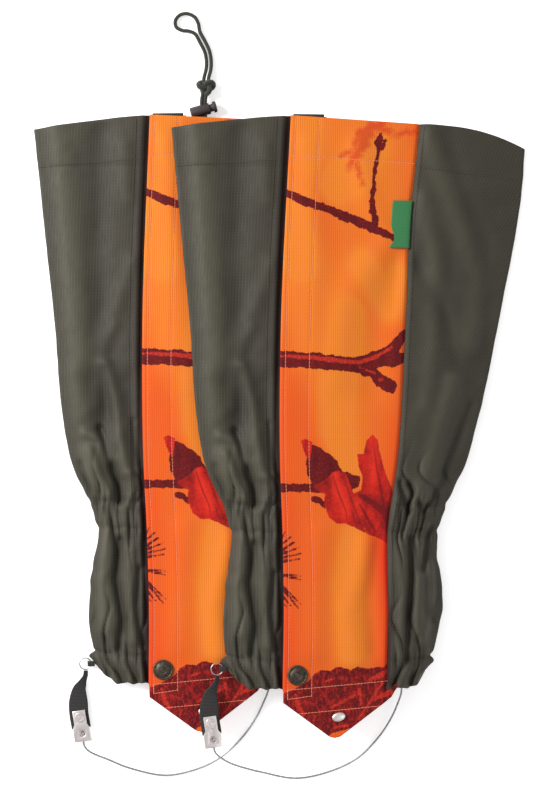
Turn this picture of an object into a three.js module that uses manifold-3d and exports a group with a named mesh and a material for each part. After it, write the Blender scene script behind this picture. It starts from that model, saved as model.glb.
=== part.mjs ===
// A pair of knee-high gaiters laid flat, the right one lapping over the left one.
// Millimetres, +Z up from the ground, +Y towards the knee, +X towards the wearer's right.
import * as THREE from "three";
import { mergeVertices } from "three/addons/utils/BufferGeometryUtils.js";
import Module from "manifold-3d";

const wasm = await Module();
wasm.setup();

// ---- driving sizes ------------------------------------------------------------------

// Shared clearances and walls.
const GAP = 0.3;
const CLOTH = 1.0;
const TAPE = 0.8;
const ROOM = 9.0; // clear height inside the flattened tube, under the closing strip

// Heights above the hem, measured along the closing edge of the front flap.
const BODY_HEIGHT = 444;
const CALF_HEIGHT = 290;
const SHIN_HEIGHT = 180;
const ANKLE_HEIGHT = 122;
const CUFF_HEIGHT = 60;
const HEIGHTS = [0, CUFF_HEIGHT, ANKLE_HEIGHT, SHIN_HEIGHT, CALF_HEIGHT, BODY_HEIGHT];

// Flat widths of the three faces that show, at those heights from the hem up.
const OUTER_WIDTHS = [43, 42.5, 39, 58, 70, 92];
const FRONT_WIDTHS = [81, 81.5, 82, 92, 97.5, 101];
const INNER_WIDTHS = [30, 43, 40.5, 56, 74.5, 83];
const EDGE_BOW = [0, 1, 0, -2, -1, 6.5]; // sideways place of the flap's closing edge

// How far the top edge drops towards the two folds and at the inner seam.
const TOP_DROP = { outer: 9, edge: 0, seam: 6, inner: 23 };

// The tongue that covers the boot's laces.
const TONGUE_CORNER = 10;
const TONGUE_LENGTH = 40;
const TONGUE_SIDE = 6.5;

// Front closing.
const PEEL_X = 22.5; // the line that the flap peels back to
const UNDERLAP = 28;
const STRIP_INSET = 2;
const STRIP_RISE = 3; // the hook strip stands this far above the top edge
const STRIP_ABOVE_SNAP = 7.5;

// Snap fastener.
const SNAP_X = 11.5;
const SNAP_Y = 11;
const SNAP_R = 7.5;
const SNAP_DOME = 2.5;
const SNAP_BALL_R = 2.5;
const SNAP_FLANGE_R = 5.5;

// Label tab in the inner seam.
const TAB_WIDTH = 14.5;
const TAB_HEIGHT = 37;
const TAB_Y = 360;
const TAB_THICK = 0.6;

// Lace hook under the tongue.
const HOOK_Y = -21.5;
const HOOK_WIDTH = 7;
const HOOK_PLATE = 1.0;
const HOOK_MOUTH = 3;
const HOOK_LENGTH = 15;
const HOOK_RETURN = 8;
const HOOK_RIVET_R = 5;
const HOOK_RIVET_SQUEEZE = 0.62;
const HOOK_RIVET_TURN = -0.2;
const RIVET_SHANK_R = 1.5;

// Elastics and the cord in the top hem.
const ANKLE_ELASTIC = 20;
const HEM_ELASTIC = 8;
const HEM_ELASTIC_Y = 24;
const ELASTIC_INSET = 8;
const CORD_D = 3;
const CORD_SQUEEZE = 0.2; // each strand is pressed this much thinner in the lock and tunnel
const CORD_DROP = 6; // from the lowest point of the top edge to the cord in its channel
const CORD_EXIT_X = 48;
const TUNNEL_LENGTH = 6;

// Foot strap, its ring at the outer fold, and its buckle.
const RING_R = 4.5;
const RING_WIRE_R = 0.5;
const RING_Y = 15;
const RING_TAB_WIDTH = 4;
const RING_TAB_REACH = 5.5;
const STRAP_THICK = 2.0;
const STRAP_WIDTH = 15;
const STRAP_NECK = 7;
const STRAP_NECK_LENGTH = 4;
const BUCKLE_OUT = 13; // from the outer fold
const BUCKLE_Y = -21.5;
const BUCKLE_TURN = 0.143;
const BUCKLE_WIDTH = 13.4;
const BUCKLE_LENGTH = 24;
const BUCKLE_PLATE = 1.0;
const BUCKLE_NECK = 7;
const BUCKLE_HEAD = 10;
const BUCKLE_HOLE_R = 2.7;
const BUCKLE_HOLE_Y = -18;
const BUCKLE_RIVET_Y = -5.5;
const BUCKLE_RIVET_R = 3.2;

// Foot cable.
const CABLE_D = 1.6;
const FERRULE_R = 1.0;
const FERRULE_LENGTH = 6;
const FERRULE_INSET = 0.8; // from the foot of the buckle to the end of the ferrule
const EYELET_R = 2.8;
const EYELET_HOLE_R = 1.7;
const EYELET_LENGTH = 4;
const EYELET_FROM_SEAM = 13;

// Cord lock on the left drawcord, placed from the point where the cord leaves the top hem.
const LOCK = new THREE.Vector3(0, 6.6, 4.8);
const LOCK_TURN = 0.28;
const BARREL_R = 4.5;
const BARREL_WALL = 1.1;
const LOCK_LIP = 0.6; // material left beside the cord's hole
const PRESS_TRAVEL = 2.5;
const HEAD_LENGTH = 2.7;
const SPRING_WIRE_R = 0.25;
const SPRING_TURNS = 3;

// Knot above the lock.
const KNOT = new THREE.Vector3(2, 24.7, 4.9);
const KNOT_R = new THREE.Vector3(6.8, 6, 4.6);

// Where the two gaiters lie.
const LEFT_PLACE = new THREE.Vector2(-101.2, -199.2);
const LEFT_TURN = 0.0127;
const RIGHT_PLACE = new THREE.Vector2(2, -201.6);

// Routes of the foot cables, in the frame of the pair.
const LEFT_CABLE = [
  [-153.2, -245, 2.3], [-152.7, -248.6, 2.1], [-150.2, -252.6, 1.5], [-144.6, -256, 1.1],
  [-134.6, -259.9, 1], [-116.4, -267.1, 1], [-89.6, -272.6, 1], [-65.3, -268.1, 1],
  [-45.8, -258.6, 1], [-29, -243.4, 1], [-17.6, -227.2, 1], [-10.6, -212.6, 2],
  [-7.8, -204.8, 3.4], [-7.2, -200.4, 4.1], [-7.2, -193.4, 4.1],
];
const RIGHT_CABLE = [
  [-50.2, -246.8, 22.8], [-49.6, -250.4, 22], [-46.4, -254.6, 20.4], [-38.6, -260, 17],
  [-28.6, -264.4, 12.6], [-12.4, -269.4, 6.8], [13.6, -274.8, 1.8], [40.2, -269.6, 1],
  [62.4, -258.8, 1], [78, -243.2, 1.8], [88.2, -227.2, 4.8], [94, -213, 8.8],
  [95.8, -206.4, 11.4], [96, -202.6, 12.2], [96, -196.6, 12.2],
];

// Route of the loop that ends the left drawcord, from the point where the cord leaves the hem.
const CORD_LOOP = [
  [3.9, 31.6, 4.2], [5.6, 38.6, 2.4], [5.9, 45.6, 1.7], [4.5, 53.6, 1.7], [0.8, 61.6, 1.7],
  [-3, 68.6, 1.7], [-4.2, 74.9, 1.7], [-7.2, 80.1, 1.7], [-12.7, 82.7, 1.7], [-18.5, 81.7, 1.7],
  [-22.2, 77.3, 1.7], [-21.5, 72.1, 1.7], [-16.8, 69.5, 1.7], [-11.2, 68.9, 1.7],
  [-6.4, 66.3, 1.7], [-2.8, 59.9, 1.7], [0.8, 52.7, 1.7], [2.2, 45.6, 1.7], [1.9, 38.6, 2.4],
  [0.3, 31.6, 4.2],
];

// ---- sizes that follow ----------------------------------------------------------------

const FLOOR_TOP = CLOTH; // inner face of the back panel
const UNDERLAP_Z = FLOOR_TOP + ROOM;
const HOOK_STRIP_Z = UNDERLAP_Z + CLOTH + GAP;
const LOOP_STRIP_Z = HOOK_STRIP_Z + TAPE + GAP;
const FRONT_Z = LOOP_STRIP_Z + TAPE + GAP;
const FRONT_TOP = FRONT_Z + CLOTH;
const CABLE_R = CABLE_D / 2;
const CORD_R = CORD_D / 2;
const BUCKLE_STRAP_Z = BUCKLE_PLATE + GAP;
const BUCKLE_TOP_Z = BUCKLE_STRAP_Z + STRAP_THICK + GAP;
const STRAP_MID_Z = BUCKLE_STRAP_Z + STRAP_THICK / 2;
const TONGUE_TIP_X = FRONT_WIDTHS[0] / 2;
const BUCKLE_X = EDGE_BOW[0] - OUTER_WIDTHS[0] - BUCKLE_OUT;
const STRIP_START = SNAP_Y + SNAP_R + STRIP_ABOVE_SNAP;
const CORD_REST_Z = FLOOR_TOP + GAP + CORD_R;
const CORD_PAIR = 2 * (CORD_D - CORD_SQUEEZE); // two strands side by side
const CORD_PRESSED = CORD_D - CORD_SQUEEZE;
const BORE_R = BARREL_R - BARREL_WALL;
const STEM_R = BORE_R - GAP;
const BARREL_HIGH = holeReach(BARREL_R) + LOCK_LIP;
const STEM_LOW = -holeReach(STEM_R) - LOCK_LIP;
const SPRING_SHUT = 2 * SPRING_WIRE_R * SPRING_TURNS;
const BARREL_LOW = STEM_LOW - PRESS_TRAVEL - SPRING_SHUT - 2 * GAP - BARREL_WALL;
const HEAD_LOW = BARREL_HIGH + PRESS_TRAVEL + GAP;
const ROWS = 18; // steps up the body, shared by pieces that meet along a line

const edges = new THREE.CubicInterpolant(
  HEIGHTS,
  HEIGHTS.flatMap((_, i) => {
    const edge = EDGE_BOW[i];
    const seam = edge + FRONT_WIDTHS[i];
    return [edge - OUTER_WIDTHS[i], edge, seam, seam + INNER_WIDTHS[i]];
  }),
  4
);

// How far along the lock the slanting cord hole reaches at a radius from its axis.
function holeReach(radius) {
  const half = CORD_PAIR / 2 + GAP;
  return (half + radius * Math.sin(LOCK_TURN)) / Math.cos(LOCK_TURN);
}

// The sideways places of the outer fold, flap edge, inner seam and inner fold.
function lines(y) {
  const [outer, edge, seam, inner] = edges.evaluate(THREE.MathUtils.clamp(y, 0, BODY_HEIGHT));
  return { outer, edge, seam, inner };
}

function topOf(side) {
  return BODY_HEIGHT - TOP_DROP[side];
}

// ---- materials --------------------------------------------------------------------------

function finish(color, roughness, metalness) {
  return new THREE.MeshStandardMaterial({ color, roughness, metalness });
}

const OLIVE = [0x4a483e, 0.9, 0];
const ORANGE = [0xf48a32, 0.85, 0];
const DARK_TAPE = [0x24221f, 0.95, 0];
const ELASTIC = [0x38362f, 0.95, 0];
const BRONZE = [0x6b6252, 0.45, 1];
const NICKEL = [0xd6d0cc, 0.3, 1];
const STEEL = [0x9a9a98, 0.35, 1];
const GREEN = [0x3c9655, 0.8, 0];
const BLACK_STRAP = [0x1e1c1b, 0.9, 0];
const CORD = [0x33342b, 0.95, 0];
const LOCK_PLASTIC = [0x3e3436, 0.5, 0];

// ---- building blocks ----------------------------------------------------------------------

// A slab whose every point is placed by a function of its three shares, each from 0 to 1.
function slab(across, along, place) {
  const geometry = new THREE.BoxGeometry(1, 1, 1, across, along, 1);
  const points = geometry.attributes.position;
  for (let i = 0; i < points.count; i++) {
    const [x, y, z] = place(points.getX(i) + 0.5, points.getY(i) + 0.5, points.getZ(i) + 0.5);
    points.setXYZ(i, x, y, z);
  }
  return geometry;
}

// A flat sheet cut to an outline, lying from height z up.
function sheet(outline, z, thick, holes = []) {
  const shape = new THREE.Shape(outline);
  for (const [x, y, r] of holes) {
    shape.holes.push(new THREE.Path().absarc(x, y, r, 0, 2 * Math.PI));
  }
  const options = { depth: thick, bevelEnabled: false, curveSegments: 10 };
  return new THREE.ExtrudeGeometry(shape, options).translate(0, 0, z);
}

// A turned piece about Z. The profile is a list of [radius, height].
function turned(profile, sides = 20) {
  const points = profile.map(([r, z]) => new THREE.Vector2(r, z));
  return new THREE.LatheGeometry(points, sides).rotateX(Math.PI / 2);
}

function disc(radius, low, high, sides = 20) {
  return turned([[0, low], [radius, low], [radius, high], [0, high]], sides);
}

function ring(inner, outer, low, high, sides = 20) {
  const profile = [[inner, low], [outer, low], [outer, high], [inner, high], [inner, low]];
  return turned(profile, sides);
}

function dome(radius, low, height, sides = 24) {
  const rim = height * 0.35;
  const profile = [[0, low], [radius, low], [radius, low + rim], [radius * 0.86, low + rim * 1.5]];
  profile.push([radius * 0.78, low + rim * 1.2], [radius * 0.5, low + height * 0.9]);
  profile.push([0, low + height]);
  return turned(profile, sides);
}

// A round cord along a route of chosen points.
function cordAlong(route, radius, steps) {
  const path = new THREE.CatmullRomCurve3(route.map((p) => new THREE.Vector3(...p)));
  const section = new THREE.Shape().absarc(0, 0, radius, 0, 2 * Math.PI);
  const options = { steps, curveSegments: 4, extrudePath: path, bevelEnabled: false };
  return new THREE.ExtrudeGeometry(section, options);
}

function solid(geometry) {
  const bare = new THREE.BufferGeometry();
  bare.setAttribute("position", geometry.getAttribute("position"));
  if (geometry.index) bare.setIndex(geometry.index);
  const merged = mergeVertices(bare, 1e-4);
  const mesh = { numProp: 3, vertProperties: merged.attributes.position.array };
  return new wasm.Manifold(new wasm.Mesh({ ...mesh, triVerts: merged.index.array }));
}

function geometryOf(body) {
  const mesh = body.getMesh();
  const geometry = new THREE.BufferGeometry();
  const places = new THREE.BufferAttribute(new Float32Array(mesh.vertProperties), 3);
  geometry.setAttribute("position", places);
  geometry.setIndex(new THREE.BufferAttribute(new Uint32Array(mesh.triVerts), 1));
  return geometry;
}

function add(group, name, geometry, look) {
  const mesh = new THREE.Mesh(geometry, finish(...look));
  mesh.name = name;
  group.add(mesh);
  return mesh;
}

// Points up one of the four lines, from one height to another.
function upLine(line, low, high, offset = 0) {
  const points = [];
  for (let i = 0; i <= ROWS; i++) {
    const y = low + ((high - low) * i) / ROWS;
    points.push(new THREE.Vector2(lines(y)[line] + offset, y));
  }
  return points;
}

function point(x, y) {
  return new THREE.Vector2(x, y);
}

// ---- the cloth body --------------------------------------------------------------------------

function backPanel() {
  const rightSide = upLine("inner", 0, topOf("inner"));
  const leftSide = upLine("outer", 0, topOf("outer")).reverse();
  const { edge, seam } = lines(BODY_HEIGHT);
  const top = [point(seam, topOf("seam")), point(edge, topOf("edge"))];
  return sheet([...rightSide, ...top, ...leftSide], 0, CLOTH);
}

// The rise of a side panel from its fold to its raised edge, as a share of its height.
function swell(share) {
  return Math.sin((share * Math.PI) / 2);
}

function outerPanel() {
  const low = FLOOR_TOP + GAP;
  const columns = 6;
  const lap = 1 / columns;
  return slab(columns, ROWS, (u, v, w) => {
    const share = Math.min(u / (1 - lap), 1);
    const drop = TOP_DROP.outer * (1 - share);
    const y = v * (BODY_HEIGHT - drop);
    const { outer, edge } = lines(y);
    const shoulder = edge - GAP;
    const x = u > 1 - lap / 2 ? edge + UNDERLAP : outer + (shoulder - outer) * share;
    return [x, y, low + (UNDERLAP_Z - low) * swell(share) + w * CLOTH];
  });
}

function innerPanel() {
  const low = FLOOR_TOP + GAP;
  return slab(6, ROWS, (u, v, w) => {
    const drop = TOP_DROP.seam + (TOP_DROP.inner - TOP_DROP.seam) * u;
    const y = v * (BODY_HEIGHT - drop);
    const { seam, inner } = lines(y);
    const x = seam + GAP / 2 + (inner - seam - GAP / 2) * u;
    return [x, y, low + (FRONT_Z - low) * swell(1 - u) + w * CLOTH];
  });
}

// Height of the tongue's slanting edge below the flap edge's corner.
function tongueLeft(x) {
  const run = x / TONGUE_TIP_X;
  return -TONGUE_CORNER - (TONGUE_LENGTH - TONGUE_CORNER) * run;
}

function frontTop(x) {
  const { edge, seam } = lines(BODY_HEIGHT);
  return BODY_HEIGHT - (TOP_DROP.seam * (x - edge)) / (seam - edge);
}

function frontPanel() {
  const left = PEEL_X + GAP / 2;
  const seamSide = upLine("seam", 0, topOf("seam"), -GAP / 2);
  const outline = [
    point(left, tongueLeft(left)),
    point(TONGUE_TIP_X - 1.5, -TONGUE_LENGTH + 1),
    point(TONGUE_TIP_X + 1.5, -TONGUE_LENGTH + 1),
    point(lines(0).seam - GAP / 2, -TONGUE_SIDE),
    ...seamSide,
    point(left, frontTop(left)),
  ];
  return sheet(outline, FRONT_Z, CLOTH, [[TONGUE_TIP_X + 3, HOOK_Y, RIVET_SHANK_R + GAP]]);
}

function frontFlap() {
  const right = PEEL_X - GAP / 2;
  const edgeSide = upLine("edge", 0, topOf("edge")).reverse();
  const corner = [point(lines(0).edge, -TONGUE_CORNER), point(right, tongueLeft(right))];
  return sheet([point(right, frontTop(right)), ...edgeSide, ...corner], FRONT_Z, CLOTH);
}

// A strip of tape beside the flap's edge.
function tapeStrip(width, top, z) {
  const start = upLine("edge", STRIP_START, top, STRIP_INSET);
  const end = width === null
    ? [point(PEEL_X - STRIP_INSET, top), point(PEEL_X - STRIP_INSET, STRIP_START)]
    : upLine("edge", STRIP_START, top, STRIP_INSET + width).reverse();
  return sheet([...end.reverse(), ...start.reverse()], z, TAPE);
}

function bodyCloth(group, side) {
  add(group, `${side}_back_panel`, backPanel(), OLIVE);
  add(group, `${side}_outer_panel`, outerPanel(), OLIVE);
  add(group, `${side}_inner_panel`, innerPanel(), OLIVE);
  add(group, `${side}_front_panel`, frontPanel(), ORANGE);
  add(group, `${side}_front_flap`, frontFlap(), ORANGE);
  const hookWidth = UNDERLAP - 2 * STRIP_INSET;
  const hook = tapeStrip(hookWidth, BODY_HEIGHT + STRIP_RISE, HOOK_STRIP_Z);
  add(group, `${side}_hook_strip`, hook, DARK_TAPE);
  const loop = tapeStrip(null, BODY_HEIGHT - STRIP_INSET, LOOP_STRIP_Z);
  add(group, `${side}_loop_strip`, loop, DARK_TAPE);
}

// A band lying inside on the back panel, from near one fold to near the other.
function band(middle, width) {
  const low = middle - width / 2;
  const high = middle + width / 2;
  const right = [low, high].map((y) => point(lines(y).inner - ELASTIC_INSET, y));
  const left = [high, low].map((y) => point(lines(y).outer + ELASTIC_INSET, y));
  return sheet([...right, ...left], FLOOR_TOP + GAP, TAPE);
}

// How far in from a fold a side panel has risen enough to clear the cord in its channel.
function foldClear(width, raised) {
  const share = (2 * Math.asin((CORD_D + 2 * GAP) / (raised - FLOOR_TOP - GAP))) / Math.PI;
  return width * share + CORD_D;
}

function drawstring(group, side) {
  const y = topOf("inner") - CORD_DROP;
  const { outer, edge, seam, inner } = lines(y);
  const from = outer + foldClear(edge - outer, UNDERLAP_Z);
  const to = inner - foldClear(inner - seam, FRONT_Z);
  const run = new THREE.CylinderGeometry(CORD_R, CORD_R, to - from, 8).rotateZ(Math.PI / 2);
  add(group, `${side}_drawcord`, run.translate((from + to) / 2, y, CORD_REST_Z), CORD);

  const inside = CORD_PAIR / 2 + GAP;
  const head = LOCK.z + CORD_PRESSED / 2 - FLOOR_TOP;
  const arch = new THREE.Shape([
    point(-inside - TAPE, 0), point(-inside, 0), point(-inside, head), point(inside, head),
    point(inside, 0), point(inside + TAPE, 0), point(inside + TAPE, head + TAPE),
    point(-inside - TAPE, head + TAPE),
  ]);
  const tunnel = new THREE.ExtrudeGeometry(arch, { depth: TUNNEL_LENGTH, bevelEnabled: false });
  tunnel.rotateX(Math.PI / 2);
  const mouth = frontTop(CORD_EXIT_X) - GAP;
  add(group, `${side}_cord_tunnel`, tunnel.translate(CORD_EXIT_X, mouth, FLOOR_TOP + GAP), OLIVE);
}

function elastics(group, side) {
  add(group, `${side}_ankle_elastic`, band(ANKLE_HEIGHT, ANKLE_ELASTIC), ELASTIC);
  add(group, `${side}_hem_elastic`, band(HEM_ELASTIC_Y, HEM_ELASTIC), ELASTIC);
}

// ---- metal pieces ------------------------------------------------------------------------------

function snap(group, side) {
  const at = (geometry) => geometry.translate(SNAP_X, SNAP_Y, 0);
  const cap = dome(SNAP_R, FRONT_TOP + GAP, SNAP_DOME);
  add(group, `${side}_snap_cap`, at(cap), BRONZE);

  const socketTop = FRONT_Z - GAP;
  const studTop = socketTop - GAP;
  const studLow = UNDERLAP_Z + CLOTH + GAP;
  const flange = studLow + (socketTop - studLow) * 0.25;
  const socket = ring(SNAP_BALL_R + GAP, SNAP_FLANGE_R, flange + GAP, socketTop);
  add(group, `${side}_snap_socket`, at(socket), BRONZE);

  const stud = turned([
    [0, studLow], [SNAP_FLANGE_R, studLow], [SNAP_FLANGE_R, flange],
    [SNAP_BALL_R * 0.8, flange], [SNAP_BALL_R, (flange + studTop) / 2],
    [SNAP_BALL_R * 0.7, studTop], [0, studTop],
  ]);
  add(group, `${side}_snap_stud`, at(stud), BRONZE);
  const post = disc(SNAP_FLANGE_R, UNDERLAP_Z - GAP - TAPE, UNDERLAP_Z - GAP);
  add(group, `${side}_snap_post`, at(post), BRONZE);
}

function label(group, side) {
  const low = TAB_Y - TAB_HEIGHT / 2;
  const tab = slab(1, 2, (u, v, w) => {
    const y = low + v * TAB_HEIGHT;
    const x = lines(y).seam - GAP - TAB_WIDTH * (1 - u);
    return [x, y, FRONT_TOP + GAP + w * TAB_THICK];
  });
  add(group, `${side}_label_tab`, tab, GREEN);
}

function laceHook(group, side) {
  const top = FRONT_Z - GAP;
  const under = top - HOOK_PLATE;
  const inner = under - HOOK_MOUTH;
  const low = inner - HOOK_PLATE;
  const front = -HOOK_LENGTH / 2;
  const back = HOOK_LENGTH / 2;
  const bend = front + HOOK_PLATE;
  const profile = new THREE.Shape([
    point(back, top), point(front, top), point(front, low), point(front + HOOK_RETURN, low),
    point(front + HOOK_RETURN, inner), point(bend, inner), point(bend, under), point(back, under),
  ]);
  const hook = new THREE.ExtrudeGeometry(profile, { depth: HOOK_WIDTH, bevelEnabled: false });
  hook.rotateX(Math.PI / 2).rotateZ(Math.PI / 2);
  const x = TONGUE_TIP_X + 3;
  add(group, `${side}_lace_hook`, hook.translate(x - HOOK_WIDTH / 2, HOOK_Y, 0), NICKEL);

  const seat = FRONT_TOP + GAP;
  const rivet = turned([
    [0, FRONT_Z], [RIVET_SHANK_R, FRONT_Z], [RIVET_SHANK_R, seat], [HOOK_RIVET_R, seat],
    [HOOK_RIVET_R, seat + 0.4], [HOOK_RIVET_R * 0.7, seat + 1], [0, seat + 1.2],
  ]);
  rivet.scale(1, HOOK_RIVET_SQUEEZE, 1).rotateZ(HOOK_RIVET_TURN);
  add(group, `${side}_lace_hook_rivet`, rivet.translate(x, HOOK_Y, 0), NICKEL);
}

// ---- foot strap, buckle and cable ends -----------------------------------------------------------

function hemRing(group, side) {
  const wireX = lines(RING_Y).outer - RING_TAB_REACH + TAPE + 2 * GAP + 2 * RING_WIRE_R;
  const x = wireX - RING_R;
  const loop = new THREE.TorusGeometry(RING_R, RING_WIRE_R, 6, 20);
  add(group, `${side}_hem_ring`, loop.translate(x, RING_Y, STRAP_MID_Z), STEEL);

  const inside = RING_WIRE_R + GAP;
  const left = -RING_TAB_REACH;
  const wall = TAPE * 0.7;
  const shape = new THREE.Shape([
    point(left, -inside - wall), point(0, -inside - wall), point(0, -inside),
    point(left + wall, -inside), point(left + wall, inside), point(0, inside),
    point(0, inside + wall), point(left, inside + wall),
  ]);
  const tab = new THREE.ExtrudeGeometry(shape, { depth: RING_TAB_WIDTH, bevelEnabled: false });
  tab.rotateX(Math.PI / 2).translate(0, RING_TAB_WIDTH / 2, 0);
  const place = [lines(RING_Y).outer - GAP, RING_Y, STRAP_MID_Z];
  add(group, `${side}_hem_ring_tab`, tab.translate(...place), BLACK_STRAP);
  return x;
}

function strap(group, side, ringX) {
  const start = point(ringX, RING_Y - RING_R - RING_WIRE_R - GAP);
  const way = new THREE.CatmullRomCurve3([
    new THREE.Vector3(start.x, start.y, STRAP_MID_Z),
    new THREE.Vector3(start.x, start.y - STRAP_NECK_LENGTH, STRAP_MID_Z),
    new THREE.Vector3(BUCKLE_X - 0.4, BUCKLE_Y + 15, STRAP_MID_Z),
    new THREE.Vector3(BUCKLE_X, BUCKLE_Y, STRAP_MID_Z),
    new THREE.Vector3(
      BUCKLE_X + Math.sin(BUCKLE_TURN) * (BUCKLE_LENGTH - 10),
      BUCKLE_Y - Math.cos(BUCKLE_TURN) * (BUCKLE_LENGTH - 10),
      STRAP_MID_Z
    ),
  ]);
  const web = slab(1, 12, (u, v, w) => {
    const middle = way.getPoint(1 - v);
    const along = way.getTangent(1 - v);
    const width = STRAP_NECK + (STRAP_WIDTH - STRAP_NECK) * Math.min(1, (1 - v) * 2);
    const off = (u - 0.5) * width;
    return [middle.x - along.y * off, middle.y + along.x * off, middle.z + (w - 0.5) * STRAP_THICK];
  });
  const shank = disc(RIVET_SHANK_R + GAP, 0, 2 * BUCKLE_TOP_Z, 20);
  shank.translate(0, BUCKLE_RIVET_Y, 0).rotateZ(BUCKLE_TURN).translate(BUCKLE_X, BUCKLE_Y, 0);
  const cut = solid(web).subtract(solid(shank));
  add(group, `${side}_foot_strap`, geometryOf(cut), BLACK_STRAP);
}

function buckle(group, side) {
  const frame = new THREE.Group();
  frame.position.set(BUCKLE_X, BUCKLE_Y, 0);
  frame.rotation.z = BUCKLE_TURN;
  group.add(frame);

  const half = BUCKLE_WIDTH / 2;
  const neck = BUCKLE_NECK / 2;
  const head = BUCKLE_HEAD / 2;
  const shoulder = BUCKLE_RIVET_Y - BUCKLE_RIVET_R - 1;
  const base = BUCKLE_HOLE_Y + BUCKLE_HOLE_R + 1.5;
  const outline = [
    point(-head, 0), point(-head, shoulder), point(-neck, shoulder - 1), point(-neck, base + 1),
    point(-half, base), point(-half, -BUCKLE_LENGTH), point(half, -BUCKLE_LENGTH),
    point(half, base), point(neck, base + 1), point(neck, shoulder - 1), point(head, shoulder),
    point(head, 0),
  ];
  const holes = [
    [0, BUCKLE_RIVET_Y, RIVET_SHANK_R + GAP],
    [0, BUCKLE_HOLE_Y, BUCKLE_HOLE_R],
  ];
  const plate = sheet(outline, BUCKLE_TOP_Z, BUCKLE_PLATE, holes);
  add(frame, `${side}_buckle_plate`, plate, NICKEL);

  const rear = [
    point(-half, -BUCKLE_LENGTH - 1), point(half - 2, -BUCKLE_LENGTH - 1), point(half - 2, -1),
    point(-half, -1),
  ];
  const backing = sheet(rear, 0, BUCKLE_PLATE, [holes[0]]);
  add(frame, `${side}_buckle_back`, backing, NICKEL);

  const seat = BUCKLE_TOP_Z + BUCKLE_PLATE + GAP;
  const rivet = turned([
    [0, GAP], [RIVET_SHANK_R, GAP], [RIVET_SHANK_R, seat], [BUCKLE_RIVET_R, seat],
    [BUCKLE_RIVET_R, seat + 0.4], [BUCKLE_RIVET_R * 0.6, seat + 0.9], [0, seat + 1],
  ]);
  add(frame, `${side}_buckle_rivet`, rivet.translate(0, BUCKLE_RIVET_Y, 0), NICKEL);

  const ferrule = disc(FERRULE_R, 0, FERRULE_LENGTH, 16).rotateX(-Math.PI / 2);
  ferrule.translate(0, FERRULE_INSET - BUCKLE_LENGTH, STRAP_MID_Z);
  add(frame, `${side}_cable_ferrule`, ferrule, STEEL);
}

function cableEyelet(group, side) {
  const x = lines(0).seam + EYELET_FROM_SEAM;
  const eyelet = ring(EYELET_HOLE_R, EYELET_R, 0, EYELET_LENGTH, 16).rotateX(-Math.PI / 2);
  eyelet.translate(x, GAP, FLOOR_TOP + GAP + EYELET_R);
  add(group, `${side}_cable_eyelet`, eyelet, STEEL);
}

function gaiter(side) {
  const group = new THREE.Group();
  bodyCloth(group, side);
  elastics(group, side);
  drawstring(group, side);
  snap(group, side);
  label(group, side);
  laceHook(group, side);
  strap(group, side, hemRing(group, side));
  buckle(group, side);
  cableEyelet(group, side);
  return group;
}

// ---- cord lock, knot and loop of the left drawcord -------------------------------------------------

// The hole for the two pressed strands, along Y, reaching extra mm further on the +X side.
function cordHole(clearance, extra) {
  const half = CORD_PAIR / 2 + clearance;
  const tall = CORD_PRESSED + 2 * clearance;
  const length = 6 * BARREL_R;
  return new THREE.BoxGeometry(2 * half + extra, length, tall).translate(extra / 2, 0, 0);
}

function cordLock(group) {
  const frame = new THREE.Group();
  frame.position.copy(LOCK);
  frame.rotation.z = LOCK_TURN;
  group.add(frame);

  const lie = (geometry) => geometry.rotateY(Math.PI / 2);
  const floor = BARREL_LOW + BARREL_WALL;
  const barrel = turned([
    [0, BARREL_LOW], [BARREL_R - 0.6, BARREL_LOW], [BARREL_R, BARREL_LOW + 0.6],
    [BARREL_R, BARREL_HIGH], [BORE_R, BARREL_HIGH], [BORE_R, floor], [0, floor],
  ]);
  const hole = solid(cordHole(GAP, 0).rotateZ(-LOCK_TURN));
  add(frame, "left_lock_body", geometryOf(solid(lie(barrel)).subtract(hole)), LOCK_PLASTIC);

  const headHigh = HEAD_LOW + HEAD_LENGTH;
  const plunger = turned([
    [0, STEM_LOW], [STEM_R, STEM_LOW], [STEM_R, HEAD_LOW], [BARREL_R, HEAD_LOW],
    [BARREL_R, headHigh - 0.8], [BARREL_R - 0.8, headHigh], [0, headHigh],
  ]);
  const slot = solid(cordHole(GAP, PRESS_TRAVEL).rotateZ(-LOCK_TURN));
  add(frame, "left_lock_plunger", geometryOf(solid(lie(plunger)).subtract(slot)), LOCK_PLASTIC);

  const springLow = floor + GAP + SPRING_WIRE_R;
  const springHigh = STEM_LOW - GAP - SPRING_WIRE_R;
  const coilR = STEM_R - SPRING_WIRE_R - GAP;
  const perTurn = 12;
  const coil = [];
  for (let i = 0; i <= SPRING_TURNS * perTurn; i++) {
    const angle = (i / perTurn) * 2 * Math.PI;
    const along = springLow + ((springHigh - springLow) * i) / (SPRING_TURNS * perTurn);
    coil.push([along, coilR * Math.cos(angle), coilR * Math.sin(angle)]);
  }
  add(frame, "left_lock_spring", cordAlong(coil, SPRING_WIRE_R, coil.length - 1), STEEL);
}

function drawcordEnd(group) {
  cordLock(group);
  const low = topOf("inner") - CORD_DROP - frontTop(CORD_EXIT_X) + CORD_R + 2 * GAP;
  const high = KNOT.y - KNOT_R.y - GAP;
  const tail = new THREE.BoxGeometry(CORD_PAIR, high - low, CORD_PRESSED);
  add(group, "left_cord_tail", tail.translate(LOCK.x, (low + high) / 2, LOCK.z), CORD);
  const knot = new THREE.SphereGeometry(1, 16, 10).rotateX(Math.PI / 2);
  knot.scale(KNOT_R.x, KNOT_R.y, KNOT_R.z).translate(KNOT.x, KNOT.y, KNOT.z);
  add(group, "left_knot", knot, CORD);
  add(group, "left_cord_loop", cordAlong(CORD_LOOP, CORD_R, 44), CORD);
}

// ---- the pair -----------------------------------------------------------------------------------------

const pair = new THREE.Group();

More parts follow.
